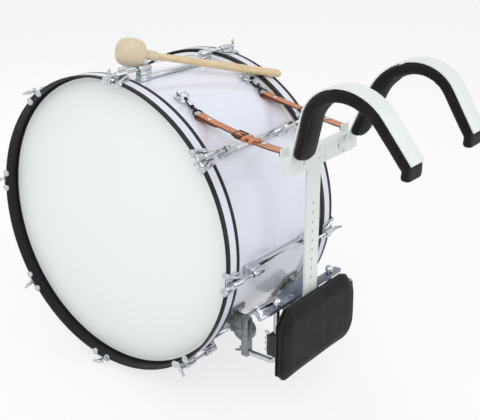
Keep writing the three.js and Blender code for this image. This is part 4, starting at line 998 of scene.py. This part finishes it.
for side, places in strap_places.items():
    hook_at = ring_frame(**places)[4]
    end_x = places["end_x"]
    start = hook_at + hook_aim * (42.5 * mm) - Vector((0, 2.8 * mm, 0))
    end = at(end_x, -387.5, 221)
    middle = at(places["middle_x"], 0, strap_middle_z)
    middle.y = (start.y + end.y) / 2
    bend = 2 * middle - (start + end) / 2

    def laid(along, lift, across=0):
        """A place so far along the strap from the hook, above its middle and across it."""
        share = along / strap_length
        place = start * (1 - share) ** 2 + 2 * bend * share * (1 - share) + end * share ** 2
        run = ((bend - start) * (1 - share) + (end - bend) * share).normalized()
        return place + run.cross(sideways).normalized() * (lift * mm) + sideways * (across * mm)

    def line_of(*places_on_strap):
        return [laid(*place) for place in places_on_strap]

    def oriented(piece, along):
        """Sets a piece that was made flat at the origin on the strap, its Y along the strap's line."""
        run = (laid(along + 1, 0) - laid(along - 1, 0)).normalized()
        over = run.cross(sideways).normalized()
        turned = Matrix((run.cross(over), run, over)).transposed().to_4x4()
        piece.data.transform(Matrix.Translation(laid(along, 0)) @ turned)
        return piece

    fold_radius = 3.1
    fold = [laid(-2.4 + fold_radius * math.cos(turn), -1 - fold_radius * math.sin(turn))
            for turn in [math.radians(angle) for angle in range(90, 271, 30)]]
    billet = ribbon(eased([
        *line_of((44, -1.7), (34, -1.7), (20, -1.8), (8, -3)), *fold,
        *line_of((6, 1.9), (18, 1.4), (32, 1.3), (48, 1.3), (66, 1.3), (84, 1.3), (96, 2.2), (108, 2),
                 (126, 1.6), (146, 1.5))], 3),
        [17, 24, 24, 24, 24, 24, 24, 23, 21, 20, 20, 20, 20, 19, 18, 8], 2.6)
    carrier_strap = ribbon(eased([
        *line_of((128, -1.9), (112, -2), (98, -3.2), (92.4, -2.4), (91.6, -0.8), (96, 0.3), (104, -0.2),
                 (120, -0.9), (140, -0.6), (160, -0.6), (178, -0.6), (192, -0.6), (202, -0.4)),
        at(end_x, -386, 221.4), at(end_x, -386.3, 218.6), at(end_x, -386.4, 214)], 3),
        [22, *[25] * 9, 24], 2.4)
    keepers = [oriented(block(Vector((-14.6, -4, -4.6)) * mm, Vector((14.6, 4, 4.2)) * mm, 1.4, 3), along)
               for along in (114, 133)]
    leather = finish_piece(together(billet, carrier_strap, *keepers), side + "_leather_strap", tan_leather,
                           "tan_leather", None, side + "_strap", smooth=50)
    frame_line = line_of((85, 2, 0), *with_mirror(
        [(85, 2, 11), (86.6, 2, 14.4), (92, 1.4, 15.6), (99, 1.4, 15.6), (104.6, 2.4, 14.4), (106, 2.6, 11)],
        (106, 2.6, 0)))
    buckle = together(wire(eased(frame_line, 3), 1.8, 3, closed=True),
                      crosswise(laid(bar_along, -1), sideways, 15.4, 1.4, 14),
                      wire(eased(line_of((bar_along, -1), (95, 2.6), (100, 4.2), (106, 4.6)), 3), 1.2, 3))
    finish_piece(buckle, side + "_strap_buckle", bronzed_steel, "black_steel", None, smooth=50)
    rivets = [oriented(spun([(0, -3.4), (3, -3.4), (3.6, -3), (3.6, 2.9), (4.2, 3), (4, 3.7), (2.6, 4.5),
                             (0, 4.8)], Vector(), (0, 0, 1), (1, 0, 0), 24), along) for along in (20, 158)]
    end_rivet = spun([(0, 0), (4.6, 0), (4.8, 0.6), (4.2, 1.8), (2.6, 2.6), (0, 2.8)],
                     at(end_x, -385.2, 218.4), (0, 1, 0), (1, 0, 0), 24)
    rivets = finish_piece(together(*rivets, end_rivet), side + "_strap_rivets", polished_chrome, "chrome",
                          None, smooth=50)
    stitches = [rod(laid(along - 1.3, lift, across), laid(along + 1.3, lift, across), 0.4, 6)
                for first, last, lift in ((7, 13, 3.2), (28, 42, 2.7), (164, 192, 0.8))
                for along in range(first, last, 4) for across in (-8.4, 8.4)]
    stitches = finish_piece(together(*stitches), side + "_strap_stitches", waxed_thread, "tan_leather", None)
    for piece in (leather, buckle, rivets, stitches):
        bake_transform(piece)

# MALLET: a turned hardwood handle, thicker at the grip, glued into a barrel-shaped head of dense cream
# felt with a felt collar.
head_at = at(-104, -13.03, 354.9)
grip_end = at(190, -173, 280.2)
mallet_line = (grip_end - head_at).normalized()
mallet_out = mallet_line.orthogonal().normalized()
mallet_length = (grip_end - head_at).length / mm


def wood_finish():
    """Pale hardwood with its grain drawn out along the handle, under thin varnish."""
    material = finish_with(
        "turned hardwood", colour(226, 205, 166), colour(214, 189, 146), 60, (0.34, 0.5), (0.12, 0.3),
        coat=0.2)
    tree = material.node_tree
    place = add_node(tree, "TexCoord")
    laid_along = add_node(tree, "Mapping", {
        "Rotation": mallet_line.to_track_quat("X", "Z").to_euler(), "Scale": (26, 1, 1)},
        vector_type="TEXTURE")
    grain = add_node(tree, "TexNoise", {"Scale": 420, "Detail": 4})
    streaks = add_node(tree, "MapRange", {"From Min": 0.48, "From Max": 0.66, "To Max": 0.55})
    connect(tree, (place, "Object", laid_along, "Vector"), (laid_along, "Vector", grain, "Vector"),
            (grain, "Fac", streaks, "Value"))
    tint(material, colour(190, 156, 108), streaks, "Result")
    return material


wool_felt = finish_with(
    "wool felt", colour(222, 206, 178), colour(208, 188, 156), 190, (0.92, 1.0), (0.8, 1.0), sheen=0.35)
finish_piece(
    spun([(0, 1.4), (7, 1.4), (7, 60), (7.5, 110), (8.3, 200), (8.8, 270), (9, 320),
          (8.6, mallet_length - 12), (7, mallet_length - 4), (4.4, mallet_length - 0.8), (0, mallet_length)],
         head_at, mallet_line, mallet_out, 40),
    "turned_handle", wood_finish(), "pale_wood", "mallet", "mallet_handle", smooth=50)
felt_outline = [(0, -25.6), (3, -25.8), (4.6, -27.4), (8, -28.4), (15, -27.6), (20.4, -25.4), (24.4, -21.4),
                (27.2, -15), (28.9, -7.6), (29.5, 0), (29.3, 7.4), (28.3, 14.4), (26.2, 20.6), (23, 24.8),
                (18.6, 27.2), (13.4, 28), (11.2, 28.6), (10.4, 30), (10.1, 36), (10.1, 54.6), (9.4, 56),
                (7.3, 56), (7.3, 2), (0, 1)]
finish_piece(spun(felt_outline, head_at, mallet_line, mallet_out, 64),
             "felt_head", wool_felt, "cream_felt", "mallet", "mallet_head", smooth=60)
